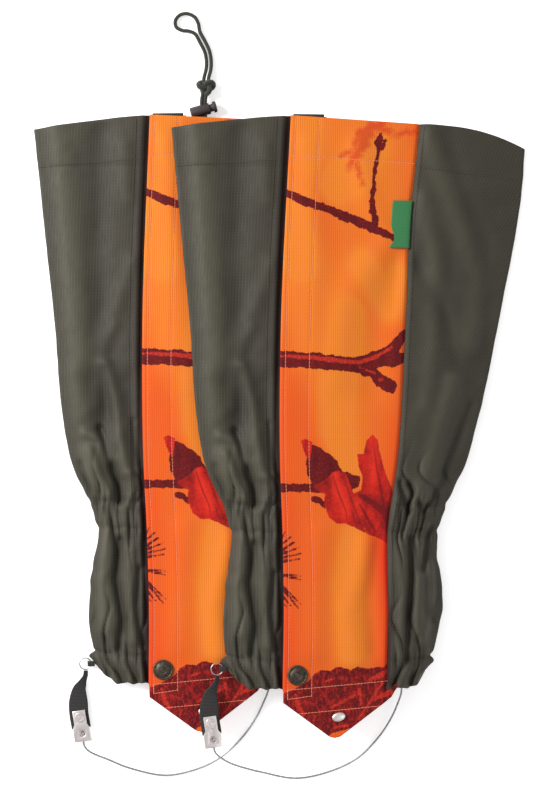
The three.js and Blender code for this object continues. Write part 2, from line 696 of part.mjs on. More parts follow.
const left = gaiter("left");
left.position.set(LEFT_PLACE.x, LEFT_PLACE.y, 0);
left.rotation.z = LEFT_TURN;
pair.add(left);

// The right one slopes from the top of the left one's label down to the ground.
const top = lines(BODY_HEIGHT);
const leftHeight = FRONT_TOP + 2 * GAP + TAB_THICK;
const span = RIGHT_PLACE.x + top.inner - LEFT_PLACE.x - top.seam;
const lean = Math.asin(leftHeight / span);
const right = gaiter("right");
right.position.set(RIGHT_PLACE.x, RIGHT_PLACE.y, Math.sin(lean) * top.inner);
right.rotation.y = lean;
pair.add(right);

const cordEnd = new THREE.Group();
left.updateMatrix();
cordEnd.position.set(CORD_EXIT_X, frontTop(CORD_EXIT_X), 0).applyMatrix4(left.matrix);
drawcordEnd(cordEnd);
pair.add(cordEnd);

add(pair, "left_foot_cable", cordAlong(LEFT_CABLE, CABLE_R, 72), STEEL);
add(pair, "right_foot_cable", cordAlong(RIGHT_CABLE, CABLE_R, 72), STEEL);

export default pair;
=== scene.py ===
"""A pair of knee-high gaiters laid flat on a pale floor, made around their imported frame.

Sizes in the cloth are millimetres along each gaiter: x from the closing edge of the front
towards the inner side, and y up from the hem. Every piece ends up in metres.
"""

import math

import bpy
import numpy as np
from mathutils import Matrix, Vector


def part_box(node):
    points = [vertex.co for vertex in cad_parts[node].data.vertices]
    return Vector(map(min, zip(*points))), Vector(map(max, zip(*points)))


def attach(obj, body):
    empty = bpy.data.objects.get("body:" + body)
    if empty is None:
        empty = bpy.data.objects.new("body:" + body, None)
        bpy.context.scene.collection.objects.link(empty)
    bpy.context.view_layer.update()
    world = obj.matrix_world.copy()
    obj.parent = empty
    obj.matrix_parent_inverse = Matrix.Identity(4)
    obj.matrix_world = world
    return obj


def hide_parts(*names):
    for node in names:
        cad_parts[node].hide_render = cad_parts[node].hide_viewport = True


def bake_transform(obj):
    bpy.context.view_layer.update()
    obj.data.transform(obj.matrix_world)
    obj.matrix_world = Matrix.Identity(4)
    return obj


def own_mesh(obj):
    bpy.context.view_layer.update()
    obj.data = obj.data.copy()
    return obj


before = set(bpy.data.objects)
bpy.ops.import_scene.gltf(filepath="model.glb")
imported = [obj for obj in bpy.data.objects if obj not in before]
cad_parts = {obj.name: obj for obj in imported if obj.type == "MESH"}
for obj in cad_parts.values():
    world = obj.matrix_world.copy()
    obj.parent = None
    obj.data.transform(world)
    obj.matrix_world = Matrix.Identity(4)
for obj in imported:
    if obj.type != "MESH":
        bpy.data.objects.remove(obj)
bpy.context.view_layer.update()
SIDES = ("left", "right")
MM = 0.001

# Where each gaiter lies: the right one slopes down from the left one's label.
PLACES = {
    "left": Matrix.Translation((-0.1012, -0.1992, 0)) @ Matrix.Rotation(0.0127, 4, "Z"),
    "right": Matrix.Translation((0.002, -0.2016, 0.01606257))
    @ Matrix.Rotation(0.0844182, 4, "Y"),
}

# The cut of one gaiter, from the hem up.
HEIGHTS = (0, 60, 122, 180, 290, 444)
OUTER_WIDTHS = (43, 42.5, 39, 58, 70, 92)
FRONT_WIDTHS = (81, 81.5, 82, 92, 97.5, 101)
INNER_WIDTHS = (30, 43, 40.5, 56, 74.5, 83)
EDGE_BOW = (0, 1, 0, -2, -1, 6.5)
TOP = 444
CLOTH = 0.7
BACK_Z = 0.5
FOLD_Z = 1.8
UNDERLAP_Z = 10.5
FRONT_Z = 14.0
UNDERLAP = 28
PEEL_X = 22.5

# How far the top edge drops at the outer fold, at the inner seam and at the inner fold.
OUTER_DROP, SEAM_DROP, INNER_DROP = 9, 6, 23

# The tongue, where its tip is across the front, and its width and mean depth below the hem.
TONGUE_TIP = 40.5
TONGUE_WIDTH, TONGUE_DEPTH = 81, 25

# Stitched lines near the top: below the front's edge, and above the hem on the olive cloth.
TOP_SEAM = 31
OUTER_TOP_SEAM, INNER_TOP_SEAM = 405, 404

# Elastics as (name, middle, width), the closing tapes' foot, and the label in the seam.
ELASTIC_BANDS = (("ankle_elastic", 122, 20), ("hem_elastic", 24, 8))
BAND_INSET = 8
TAPE_FOOT = 26
LABEL_FOOT, LABEL_HEIGHT = 341.5, 37


# ---- the pattern of the cloth ----


def along(values, y):
    """A smooth curve through the widths of the cut, read at heights y."""
    t = np.asarray(HEIGHTS, float)
    v = np.asarray(values, float)
    y = np.clip(y, 0, TOP)
    steps = np.diff(v) / np.diff(t)
    slopes = np.concatenate([steps[:1], (steps[1:] + steps[:-1]) / 2, steps[-1:]])
    i = np.clip(np.searchsorted(t, y, side="right") - 1, 0, len(t) - 2)
    gap = t[i + 1] - t[i]
    p = (y - t[i]) / gap
    start = (1 + 2 * p) * (1 - p) ** 2 * v[i] + p * (1 - p) ** 2 * gap * slopes[i]
    return start + p * p * (3 - 2 * p) * v[i + 1] + p * p * (p - 1) * gap * slopes[i + 1]


def bell(away, width):
    """1 where away is 0, falling smoothly to nothing beyond that width on both sides."""
    return np.exp(-((away / width) ** 2))


def edge_x(y):
    return along(EDGE_BOW, y)


def outer_x(y):
    return edge_x(y) - along(OUTER_WIDTHS, y)


def seam_x(y):
    eased = 2.4 * bell(y - 362, 45)
    return edge_x(y) + along(FRONT_WIDTHS, y) - eased


def inner_x(y):
    swell = 4.8 * bell(y - 385, 62)
    return edge_x(y) + along(FRONT_WIDTHS, y) + along(INNER_WIDTHS, y) + swell


def step(low, high, value):
    """0 below low, 1 above high, and an even slope rounded at both ends between them."""
    t = np.clip((value - low) / (high - low), 0, 1)
    return t * t * (3 - 2 * t)


def soft_noise(x, y, size, seed):
    """Smooth random values from -1 to 1, in patches of that size."""
    table = np.random.default_rng(seed).uniform(-1, 1, (64, 64))
    u, v = np.asarray(x, float) / size + 9, np.asarray(y, float) / size + 9
    i, j = np.floor(u).astype(int), np.floor(v).astype(int)
    fu, fv = step(0, 1, u - i), step(0, 1, v - j)

    def corner(a, b):
        return table[(i + a) % 64, (j + b) % 64]

    low = corner(0, 0) * (1 - fu) + corner(1, 0) * fu
    high = corner(0, 1) * (1 - fu) + corner(1, 1) * fu
    return low * (1 - fv) + high * fv


def path_distance(x, y, path):
    """Distance to a line of (x, y, radius) points, less the radius there."""
    best = np.full(np.shape(x), 1e9)
    for (ax, ay, ar), (bx, by, br) in zip(path, path[1:]):
        dx, dy = bx - ax, by - ay
        t = np.clip(((x - ax) * dx + (y - ay) * dy) / (dx * dx + dy * dy), 0, 1)
        away = np.hypot(x - ax - t * dx, y - ay - t * dy) - (ar + (br - ar) * t)
        best = np.minimum(best, away)
    return best


def patch_distance(x, y, outline):
    """Distance to a closed outline, negative inside it."""
    ring = [(px, py, 0) for px, py in outline]
    away = path_distance(x, y, [*ring, ring[0]])
    inside = np.zeros(np.shape(x), bool)
    for (ax, ay), (bx, by) in zip(outline, [*outline[1:], outline[0]]):
        crosses = (ay > y) != (by > y)
        inside ^= crosses & (x < (bx - ax) * (y - ay) / ((by - ay) or 1e-9) + ax)
    return np.where(inside, -away, away)


# ---- folds and gathers ----

ANKLE_ROWS = (122, 143)
HEM_ROW = 22

# Soft creases: points of (x, y), width across, and height above or below the cloth.
OUTER_CREASES = (
    ([(-66, 440), (-58, 330), (-48, 220), (-42, 170)], 12, 2.2),
    ([(-34, 430), (-36, 330), (-30, 260), (-30, 210)], 10, -1.4),
    ([(-8, 330), (-22, 296), (-34, 268)], 7, 1.1),
    ([(-24, 280), (-36, 250), (-38, 220)], 5, 0.9),
    ([(-14, 420), (-12, 380)], 7, 0.9),
    ([(-30, 250), (-24, 222), (-20, 190), (-15, 166)], 5, 2.1),
    ([(-48, 196), (-36, 192), (-28, 176)], 4, 1.8),
    ([(-40, 236), (-34, 214), (-42, 196)], 11, -1.9),
    ([(-14, 236), (-10, 214)], 8, -1.2),
    ([(-36, 200), (-31, 182), (-23, 160), (-21, 142)], 3, -2.6),
    ([(-52, 172), (-47, 157), (-40, 141)], 3, -2.2),
    ([(-44, 182), (-38, 166), (-30, 148)], 4.5, 1.7),
    ([(-9, 205), (-8, 190), (-5, 172)], 3.5, -1.6),
    ([(-12, 164), (-11, 150), (-14, 140)], 3, 1.4),
    ([(-33, 116), (-35, 76), (-32, 44)], 6, 1.9),
    ([(-22, 112), (-25, 82), (-20, 50), (-24, 26)], 3, -2.6),
    ([(-13, 104), (-14, 70), (-11, 34)], 4.5, 1.7),
    ([(-6, 90), (-9, 60), (-5, 30)], 2.6, -1.6),
)
INNER_CREASES = (
    ([(114, 430), (134, 380), (156, 320), (150, 270)], 11, 1.6),
    ([(124, 440), (136, 400), (160, 340), (164, 260)], 9, -1.0),
    ([(110, 380), (120, 330), (118, 270), (112, 220)], 8, 1.4),
    ([(106, 330), (128, 290), (136, 250)], 7, -0.9),
    ([(134, 240), (120, 190), (108, 150)], 8, 1.8),
    ([(150, 220), (132, 180), (122, 150)], 5, -1.5),
    ([(91, 160), (95, 148), (99, 137)], 2.8, -2.4),
    ([(99, 158), (104, 148), (109, 138)], 2.8, -1.8),
    ([(92, 112), (94, 78), (92, 40), (93, 22)], 4, 1.7),
    ([(100, 116), (101, 84), (98, 52), (97, 22)], 2.8, -2.6),
    ([(108, 112), (107, 80), (106, 44)], 4.5, 1.9),
    ([(119, 124), (113, 116), (110, 92)], 3, -2.4),
    ([(117, 96), (117, 66), (110, 36)], 3.6, 1.3),
)


def gathers(x, y, seed):
    """The puckers that the ankle and hem elastics pull into the cloth."""
    wander = 3.5 * soft_noise(x * 0, y, 19, seed) + 3 * soft_noise(x, y, 26, seed + 1)
    uneven = 3.0 * soft_noise(x, y * 0, 11, seed + 2)
    rise = np.zeros(np.shape(x))
    rows = (*((row, 1.0, 26) for row in ANKLE_ROWS), (HEM_ROW, 1.3, 38))
    for row, size, reach in rows:
        off = np.abs(y - row - 1.6 * soft_noise(x, y * 0, 6, seed + 4))
        near = bell(off, 9)
        far = bell(off, reach)
        strength = 0.8 + 0.5 * soft_noise(x, y * 0 + row, 13, seed + row)
        pleat = np.abs(np.sin(np.pi * (x + wander) / 7.2 + row)) ** 0.6 - 0.7
        across = np.abs(np.sin(np.pi * (x + wander * 1.6 + uneven) / 15 + row))
        rise += size * strength * (3.2 * near * pleat + far * (1.2 - 5.2 * (1 - across) ** 3))
        rise -= 0.8 * bell(off, 1.8)
    flare = step(HEM_ROW, 0, y)
    ruffle = np.sin(2 * np.pi * (x + wander) / 12 + seed) + 0.25 * np.sin(x / 1.3 + seed)
    return rise + 1.9 * flare * ruffle


def flap_gap_painted_shade(away):
    """Painted shadow mask: 1 in the narrow gap beside the flap's edge, and a little way onto the
    cloth beside it.
    """
    return 0.85 * step(4.6, 2.6, away) + 0.26 * bell(away, 13)


def creases(x, y, lines):
    """The summed height of soft creases, each along its own line."""
    rise = np.zeros(np.shape(x))
    for points, width, height in lines:
        away = path_distance(x, y, [(*p, 0) for p in points])
        rise += 1.7 * height * bell(away, width)
    return rise


def crumple(x, y, seed):
    return 0.55 * soft_noise(x, y * 0.45, 15, seed) + 0.22 * soft_noise(x, y, 7, seed + 3)


def outer_relief(x, y, share):
    """How far the outer panel's folds and gathers stand off its even swell."""
    give = step(0.0, 0.2, share) * step(1.0, 0.86, share)
    cloth = creases(x, y, OUTER_CREASES) + gathers(x, y, 5) + crumple(x, y, 8)
    stitched = 0.5 * bell(y - OUTER_TOP_SEAM, 1.6)
    away = (1 - share) * along(OUTER_WIDTHS, y)
    curl = 0.9 * bell(away - 5.6, 1.5) - 2.0 * step(4.8, 3.4, away)
    return give * (cloth - stitched) + curl


def inner_relief(x, y, share):
    give = step(0, 0.1, share) * step(1.0, 0.8, share)
    cloth = creases(x, y, INNER_CREASES) + gathers(x, y, 21) + crumple(x, y, 33)
    stitched = 0.5 * bell(y - INNER_TOP_SEAM + share * 8, 1.6)
    return give * (cloth - stitched)


def outer_height(x, y, share):
    """Height of the outer panel. Share goes from 0 at the fold to 1 at the flap's edge."""
    base = FOLD_Z + (UNDERLAP_Z - FOLD_Z) * np.sin(share * np.pi / 2)
    return np.maximum(base + outer_relief(x, y, share), FOLD_Z)


def inner_height(x, y, share):
    """Height of the inner panel. Share goes from 0 at the seam to 1 at the fold."""
    base = FOLD_Z + (FRONT_Z - FOLD_Z) * np.sin((1 - share) * np.pi / 2)
    seam = 1.6 * bell(share * along(INNER_WIDTHS, y), 1.3)
    return np.maximum(base - seam + inner_relief(x, y, share), FOLD_Z)


FRONT_CREASES = (
    ([(70, 330), (48, 300), (40, 240)], 13, 0.9),
    ([(92, 330), (74, 280), (70, 230)], 12, -0.8),
    ([(20, 420), (24, 330), (22, 250)], 12, 0.7),
    ([(60, 420), (66, 380), (82, 350)], 10, 0.8),
    ([(30, 120), (28, 70), (24, 30)], 11, 0.7),
    ([(66, 112), (52, 60), (56, 24)], 10, 0.9),
    ([(76, 120), (68, 70), (72, 30)], 7, -0.8),
)


def front_height(x, y):
    """Height of the orange front above the hem's plane."""
    body = np.clip(y, 0, TOP)
    from_edge = x - edge_x(body)
    from_seam = seam_x(body) - x
    cloth = creases(x, y, FRONT_CREASES) + 0.3 * soft_noise(x, y, 34, 71)
    give = step(0, 12, from_edge) * step(0, 12, from_seam)
    rolled = -0.4 * bell(from_edge, 0.9)
    seam = -1.7 * bell(from_seam, 1.5) * step(-6, 2, y)
    tucked = -3.2 * step(76, 90, x) * step(4, -2, y)
    sewn = -0.28 * bell(from_edge - 4, 0.9)
    for away in (x - PEEL_X - edge_x(body), y - front_top(x) + TOP_SEAM):
        sewn = sewn - 0.28 * bell(away, 0.9)
    return FRONT_Z + give * cloth + rolled + seam + tucked + sewn


def front_top(x):
    return TOP - SEAM_DROP * (x - edge_x(TOP)) / FRONT_WIDTHS[-1]


# ---- meshes ----


def active(obj):
    bpy.ops.object.select_all(action="DESELECT")
    obj.select_set(True)
    bpy.context.view_layer.objects.active = obj


def mesh_piece(name, points, faces):
    mesh = bpy.data.meshes.new(name)
    mesh.from_pydata([tuple(p) for p in points], [], faces)
    mesh.update()
    obj = bpy.data.objects.new(name, mesh)
    bpy.context.scene.collection.objects.link(obj)
    active(obj)
    return obj


def apply_modifiers(obj):
    active(obj)
    for modifier in list(obj.modifiers):
        bpy.ops.object.modifier_apply(modifier=modifier.name)


def place(side, obj):
    """Moves a piece made in millimetres along one gaiter to its place, in metres."""
    obj.data.transform(PLACES[side] @ Matrix.Scale(MM, 4))
    obj.data.update()
    return obj


def to_metres(obj):
    """Brings a piece made in millimetres at its own place to metres."""
    obj.data.transform(Matrix.Scale(MM, 4))
    return obj


def grid_faces(rows, columns):
    i = np.arange(rows - 1)[:, None] * columns + np.arange(columns - 1)[None, :]
    return np.stack([i, i + 1, i + columns + 1, i + columns], -1).reshape(-1, 4).tolist()


def woven_sheet(name, grid, cut, thickness, marks=None):
    """A cloth through a grid of points, with its flat cut as UV map and a real thickness."""
    rows, columns = grid.shape[:2]
    obj = mesh_piece(name, grid.reshape(-1, 3), grid_faces(rows, columns))
    mesh = obj.data
    corner = np.zeros(len(mesh.loops), np.int32)
    mesh.loops.foreach_get("vertex_index", corner)
    layer = mesh.uv_layers.new(name="cut")
    layer.data.foreach_set("uv", (cut.reshape(-1, 2)[corner] * MM).astype(np.float32).ravel())
    for mark, values in (marks or {}).items():
        attribute = mesh.attributes.new(mark, "FLOAT", "POINT")
        attribute.data.foreach_set("value", values.astype(np.float32).ravel())
    bpy.ops.object.shade_smooth()
    wall = obj.modifiers.new("thickness", "SOLIDIFY")
    wall.thickness = thickness
    wall.offset = 0
    apply_modifiers(obj)
    return obj


def tube(name, points, radius, sides=10, closed=False, lobes=0, twist=0.0):
    """A round or stranded cord through points, with its length and turn as UV map."""
    p = np.asarray(points, float)
    ahead = np.roll(p, -1, 0) - np.roll(p, 1, 0)
    if not closed:
        ahead[0], ahead[-1] = p[1] - p[0], p[-1] - p[-2]
    ahead /= np.linalg.norm(ahead, axis=1)[:, None]
    normal = np.cross(ahead[0], (0, 0, 1))
    if np.linalg.norm(normal) < 1e-6:
        normal = np.array((1.0, 0, 0))
    normals = []
    for direction in ahead:
        normal = normal - direction * np.dot(normal, direction)
        normal = normal / np.linalg.norm(normal)
        normals.append(normal)
    normals = np.array(normals)
    others = np.cross(ahead, normals)
    steps = np.linalg.norm(np.diff(p, axis=0), axis=1)
    travelled = np.concatenate([[0], np.cumsum(steps)])
    angle = np.linspace(0, 2 * np.pi, sides, endpoint=False)
    turned = angle[None, :] + twist * travelled[:, None]
    size = radius * np.ones_like(turned)
    if lobes:
        strand = radius * (0.9 + 0.1 * np.abs(np.cos(lobes * angle / 2)))
        size = strand[None, :] * np.ones_like(turned)
    across = np.cos(turned)[..., None] * normals[:, None]
    across = across + np.sin(turned)[..., None] * others[:, None]
    grid = p[:, None] + size[..., None] * across
    count = len(p)
    faces = []
    for i in range(count if closed else count - 1):
        a, b = i * sides, (i + 1) % count * sides
        faces += [(a + j, a + (j + 1) % sides, b + (j + 1) % sides, b + j) for j in range(sides)]
    if not closed:
        faces += [tuple(range(sides))[::-1], tuple(range((count - 1) * sides, count * sides))]
    obj = mesh_piece(name, grid.reshape(-1, 3), faces)
    layer = obj.data.uv_layers.new(name="cut")
    for poly in obj.data.polygons:
        ring = [obj.data.loops[k].vertex_index for k in poly.loop_indices]
        last = max(v % sides for v in ring) == sides - 1 and min(v % sides for v in ring) == 0
        for k, v in zip(poly.loop_indices, ring):
            part = v % sides
            around = 1 if last and part == 0 and len(ring) == 4 else part / sides
            layer.data[k].uv = (travelled[v // sides] * 100, around)
    bpy.ops.object.mode_set(mode="EDIT")
    bpy.ops.mesh.select_all(action="SELECT")
    bpy.ops.mesh.normals_make_consistent(inside=False)
    bpy.ops.object.mode_set(mode="OBJECT")
    bpy.ops.object.shade_smooth_by_angle(angle=math.radians(50))
    return obj


def smooth_route(points, spacing):
    """Points at an even spacing along a smooth curve through a route."""
    p = np.asarray(points, float)
    p = np.vstack([2 * p[0] - p[1], p, 2 * p[-1] - p[-2]])
    fine = []
    for i in range(1, len(p) - 2):
        a, b, c, d = p[i - 1 : i + 3]
        for t in np.linspace(0, 1, 12, endpoint=False):
            fine.append(
                0.5 * (2 * b + (c - a) * t + (2 * a - 5 * b + 4 * c - d) * t**2
                       + (3 * b - a - 3 * c + d) * t**3)
            )
    fine = np.array([*fine, p[-2]])
    reach = np.concatenate([[0], np.cumsum(np.linalg.norm(np.diff(fine, axis=0), axis=1))])
    count = max(2, round(reach[-1] / spacing) + 1)
    even = np.linspace(0, reach[-1], count)
    return np.stack([np.interp(even, reach, fine[:, k]) for k in range(3)], 1), reach[-1]


def turned_piece(name, profile, sides=40, hollow=False):
    """A piece turned about its own axis: each step is a radius and a height, in millimetres."""
    bpy.ops.object.select_all(action="DESELECT")
    radius, height = profile[0]
    fill = "NOTHING" if hollow else "NGON"
    bpy.ops.mesh.primitive_circle_add(
        vertices=sides, radius=radius, fill_type=fill, location=(0, 0, height)
    )
    obj = bpy.context.object
    obj.name = obj.data.name = name
    bpy.ops.object.transform_apply(location=True, rotation=True, scale=True)
    bpy.ops.object.mode_set(mode="EDIT")
    bpy.ops.mesh.select_mode(type="VERT")
    bpy.ops.mesh.select_all(action="SELECT")
    for wide, high in profile[1:]:
        bpy.ops.mesh.extrude_region_move(
            TRANSFORM_OT_translate={"value": (0, 0, high - height)}
        )
        ratio = wide / radius
        bpy.ops.transform.resize(value=(ratio, ratio, 1))
        radius, height = wide, high
    bpy.ops.mesh.select_all(action="SELECT")
    bpy.ops.mesh.remove_doubles(threshold=0.001)
    bpy.ops.mesh.normals_make_consistent(inside=False)
    bpy.ops.object.mode_set(mode="OBJECT")
    bpy.ops.object.shade_smooth_by_angle(angle=math.radians(35))
    return obj


def eased_copy(node, name, width, reshape=None):
    """A CAD piece again, with its sharp edges eased by a small bevel."""
    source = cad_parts[node]
    mesh = source.data.copy()
    obj = bpy.data.objects.new(name, mesh)
    bpy.context.scene.collection.objects.link(obj)
    mesh.materials.clear()
    active(obj)
    bpy.ops.object.mode_set(mode="EDIT")
    bpy.ops.mesh.select_all(action="SELECT")
    bpy.ops.mesh.remove_doubles(threshold=1e-6)
    bpy.ops.mesh.dissolve_limited(angle_limit=math.radians(1.5))
    bpy.ops.mesh.normals_make_consistent(inside=False)
    bpy.ops.object.mode_set(mode="OBJECT")
    if reshape:
        reshape(obj)
    bevel = obj.modifiers.new("eased", "BEVEL")
    bevel.width = width * MM
    bevel.segments = 2
    bevel.limit_method = "ANGLE"
    bevel.angle_limit = math.radians(35)
    apply_modifiers(obj)
    bpy.ops.object.shade_smooth_by_angle(angle=math.radians(35))
    return obj


def flat_cut(obj):
    """Lays a small hard-edged cloth piece out flat by its own place, for the weave."""
    layer = obj.data.uv_layers.get("cut") or obj.data.uv_layers.new(name="cut")
    for loop in obj.data.loops:
        spot = obj.data.vertices[loop.vertex_index].co
        layer.data[loop.index].uv = (spot.x + spot.z, spot.y + spot.z)


def settle(side, obj, body, slot, material, *nodes):
    """Gives a finished piece its material, its body and the CAD nodes that it stands for."""
    obj.data.materials.clear()
    obj.data.materials.append(material)
    if body:
        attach(obj, f"{side}_{body}")
    if nodes:
        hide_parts(*[f"{side}_{node}" for node in nodes])
    return obj


# ---- materials ----


def tone(red, green, blue):
    """A colour given as it looks on a screen, from 0 to 255, as Blender's linear colour."""
    values = [c / 255 for c in (red, green, blue)]
    linear = [c / 12.92 if c < 0.04 else ((c + 0.055) / 1.055) ** 2.4 for c in values]
    return (*linear, 1)


class Bench:
    """Adds and joins the nodes of one material or node group."""

    def __init__(self, tree):
        self.tree = tree

    def node(self, kind, **settings):
        made = self.tree.nodes.new(kind)
        for key, value in settings.items():
            setattr(made, key, value)
        return made

    def feed(self, socket, value):
        if isinstance(value, bpy.types.NodeSocket):
            self.tree.links.new(value, socket)
        else:
            socket.default_value = value

    def math(self, operation, a, b=0.0, clamp=False):
        made = self.node("ShaderNodeMath", operation=operation, use_clamp=clamp)
        for socket, value in zip(made.inputs, (a, b)):
            self.feed(socket, value)
        return made.outputs[0]

    def times(self, a, b):
        return self.math("MULTIPLY", a, b)

    def plus(self, a, b):
        return self.math("ADD", a, b)

    def minus(self, a, b, clamp=False):
        return self.math("SUBTRACT", a, b, clamp)

    def split(self, vector):
        made = self.node("ShaderNodeSeparateXYZ")
        self.feed(made.inputs[0], vector)
        return made.outputs

    def mix(self, share, a, b):
        made = self.node("ShaderNodeMix", data_type="RGBA")
        self.feed(made.inputs[0], share)
        self.feed(made.inputs[6], a)
        self.feed(made.inputs[7], b)
        return made.outputs[2]

    def noise(self, vector, scale, detail=3.0, roughness=0.5):
        made = self.node("ShaderNodeTexNoise")
        self.feed(made.inputs["Vector"], vector)
        self.feed(made.inputs["Scale"], scale)
        made.inputs["Detail"].default_value = detail
        made.inputs["Roughness"].default_value = roughness
        return made.outputs["Fac"]

    def stretch(self, vector, x, y, z=1.0):
        made = self.node("ShaderNodeMapping")
        self.feed(made.inputs["Vector"], vector)
        made.inputs["Scale"].default_value = (x, y, z)
        return made.outputs["Vector"]

    def span(self, value, low, high, to_low=0.0, to_high=1.0):
        made = self.node("ShaderNodeMapRange")
        for socket, given in zip(made.inputs, (value, low, high, to_low, to_high)):
            self.feed(socket, given)
        return made.outputs["Result"]

    def mark(self, name):
        return self.node("ShaderNodeAttribute", attribute_name=name).outputs["Fac"]

    def cut(self):
        return self.node("ShaderNodeUVMap", uv_map="cut").outputs["UV"]

    def place(self):
        return self.node("ShaderNodeTexCoord").outputs["Object"]

    def group(self, made, **inputs):
        node = self.node("ShaderNodeGroup", node_tree=made)
        for key, value in inputs.items():
            self.feed(node.inputs[key.replace("_", " ")], value)
        return node.outputs


def effect(name, inputs, outputs):
    """An empty node group with named inputs and outputs."""
    tree = bpy.data.node_groups.new(name, "ShaderNodeTree")
    for label, kind, value in inputs:
        socket = tree.interface.new_socket(label, in_out="INPUT", socket_type=kind)
        if value is not None:
            socket.default_value = value
    for label, kind in outputs:
        tree.interface.new_socket(label, in_out="OUTPUT", socket_type=kind)
    bench = Bench(tree)
    return bench, bench.node("NodeGroupInput").outputs, bench.node("NodeGroupOutput").inputs


VALUE, COLOUR, VECTOR = "NodeSocketFloat", "NodeSocketColor", "NodeSocketVector"


def make_weave():
    """A plain weave with thicker ribs each way, over the flat cut of a cloth."""
    b, given, out = effect(
        "ripstop weave",
        [("Cut", VECTOR, None), ("Threads", VALUE, 2000.0), ("Ribs", VALUE, 560.0)],
        [("Height", VALUE), ("Rib", VALUE), ("Slub", VALUE)],
    )
    u, v = b.split(given["Cut"])[:2]
    warp, weft = (
        b.math("SINE", b.times(b.times(way, given["Threads"]), 2 * math.pi)) for way in (u, v)
    )
    ribs = []
    for way in (u, v):
        beat = b.math("FRACT", b.times(way, given["Ribs"]))
        ribs.append(b.minus(1.0, b.span(b.math("ABSOLUTE", b.minus(beat, 0.5)), 0.1, 0.26)))
    rib = b.math("MAXIMUM", ribs[0], b.times(ribs[1], 0.5))
    threads = b.times(b.times(warp, weft), 0.25)
    slub = b.noise(b.stretch(given["Cut"], 1400, 90), 1.0, 2.0)
    height = b.plus(b.plus(threads, rib), b.times(slub, 0.5))
    b.feed(out["Height"], height)
    b.feed(out["Rib"], rib)
    b.feed(out["Slub"], slub)
    return b.tree


def make_ink_edge():
    """A mask of printed ink from the distance to its outline, with a ragged edge."""
    b, given, out = effect(
        "ragged ink",
        [("Distance", VALUE, 0.0), ("Cut", VECTOR, None), ("Ragged", VALUE, 1.0),
         ("Blur", VALUE, 0.6)],
        [("Mask", VALUE)],
    )
    fine = b.minus(b.noise(given["Cut"], 620.0, 4.0, 0.65), 0.5)
    wide = b.minus(b.noise(given["Cut"], 170.0, 2.0), 0.5)
    wave = b.times(b.plus(fine, wide), given["Ragged"])
    away = b.math("DIVIDE", b.plus(given["Distance"], wave), given["Blur"])
    b.feed(out["Mask"], b.minus(0.5, away, clamp=True))
    return b.tree


def make_tarnish():
    """Darker patches, fine scratches and uneven gloss on metal and plastic."""
    b, given, out = effect(
        "tarnish",
        [("Place", VECTOR, None), ("Clean", COLOUR, (1, 1, 1, 1)),
         ("Dull", COLOUR, (0, 0, 0, 1)), ("Amount", VALUE, 0.5), ("Gloss", VALUE, 0.3)],
        [("Color", COLOUR), ("Roughness", VALUE), ("Height", VALUE)],
    )
    cloud = b.span(b.noise(given["Place"], 420.0, 4.0, 0.6), 0.42, 0.66)
    grain = b.noise(b.stretch(given["Place"], 2600, 300, 2600), 1.0, 2.0)
    share = b.times(cloud, given["Amount"])
    b.feed(out["Color"], b.mix(share, given["Clean"], given["Dull"]))
    rough = b.plus(given["Gloss"], b.times(share, 0.25))
    b.feed(out["Roughness"], b.plus(rough, b.times(grain, 0.12)))
    b.feed(out["Height"], b.plus(b.times(cloud, 0.6), grain))
    return b.tree


WEAVE = make_weave()
INK_EDGE = make_ink_edge()
TARNISH = make_tarnish()


def blank(name, **constants):
    """A material with one Principled shader, whose even values are set on its sockets."""
    material = bpy.data.materials.new(name)
    material.use_nodes = True
    shader = material.node_tree.nodes["Principled BSDF"]
    for key, value in constants.items():
        shader.inputs[key.replace("_", " ")].default_value = value
    return material, Bench(material.node_tree), shader.inputs


def bump(bench, shader, height, strength, distance):
    made = bench.node("ShaderNodeBump")
    made.inputs["Strength"].default_value = strength
    made.inputs["Distance"].default_value = distance
    bench.feed(made.inputs["Height"], height)
    bench.feed(shader["Normal"], made.outputs["Normal"])


def olive_cloth():
    material, b, shader = blank(
        "olive cloth", Sheen_Weight=0.12, Sheen_Roughness=0.4, Sheen_Tint=tone(190, 186, 160),
        Specular_IOR_Level=0.35,
    )
    cut = b.cut()
    weave = b.group(WEAVE, Cut=cut, Threads=1500.0, Ribs=420.0)
    cloud = b.noise(cut, 26.0, 3.0)
    plain = b.mix(b.span(cloud, 0.35, 0.65), tone(53, 49, 40), tone(62, 58, 47))
    # Painted highlight on the crests of the folds and painted shade in their hollows, both read from
    # the relief mark.
    painted_crest_highlight = b.span(b.mark("relief"), 0.4, 3.2, 0.0, 0.5)
    plain = b.mix(painted_crest_highlight, plain, tone(84, 81, 66))
    hollow = b.span(b.mark("relief"), -0.4, -3.2, 0.0, 0.75)
    plain = b.mix(hollow, plain, tone(30, 27, 23))
    streak = b.mix(b.times(weave["Slub"], 0.5), plain, tone(47, 43, 35))
    ribbed = b.mix(b.times(weave["Rib"], 0.2), streak, tone(90, 86, 70))
    # Painted shadow: dark maroon where the shade mark is high, in the gap beside the flap's edge and
    # at the inner seam near the hem, fading onto the cloth beside the flap.
    ribbed = b.mix(b.mark("shade"), ribbed, tone(38, 16, 12))
    b.feed(shader["Base Color"], ribbed)
    b.feed(shader["Roughness"], b.span(weave["Slub"], 0.3, 0.7, 0.62, 0.74))
    bump(b, shader, weave["Height"], 0.35, 0.00012)
    return material


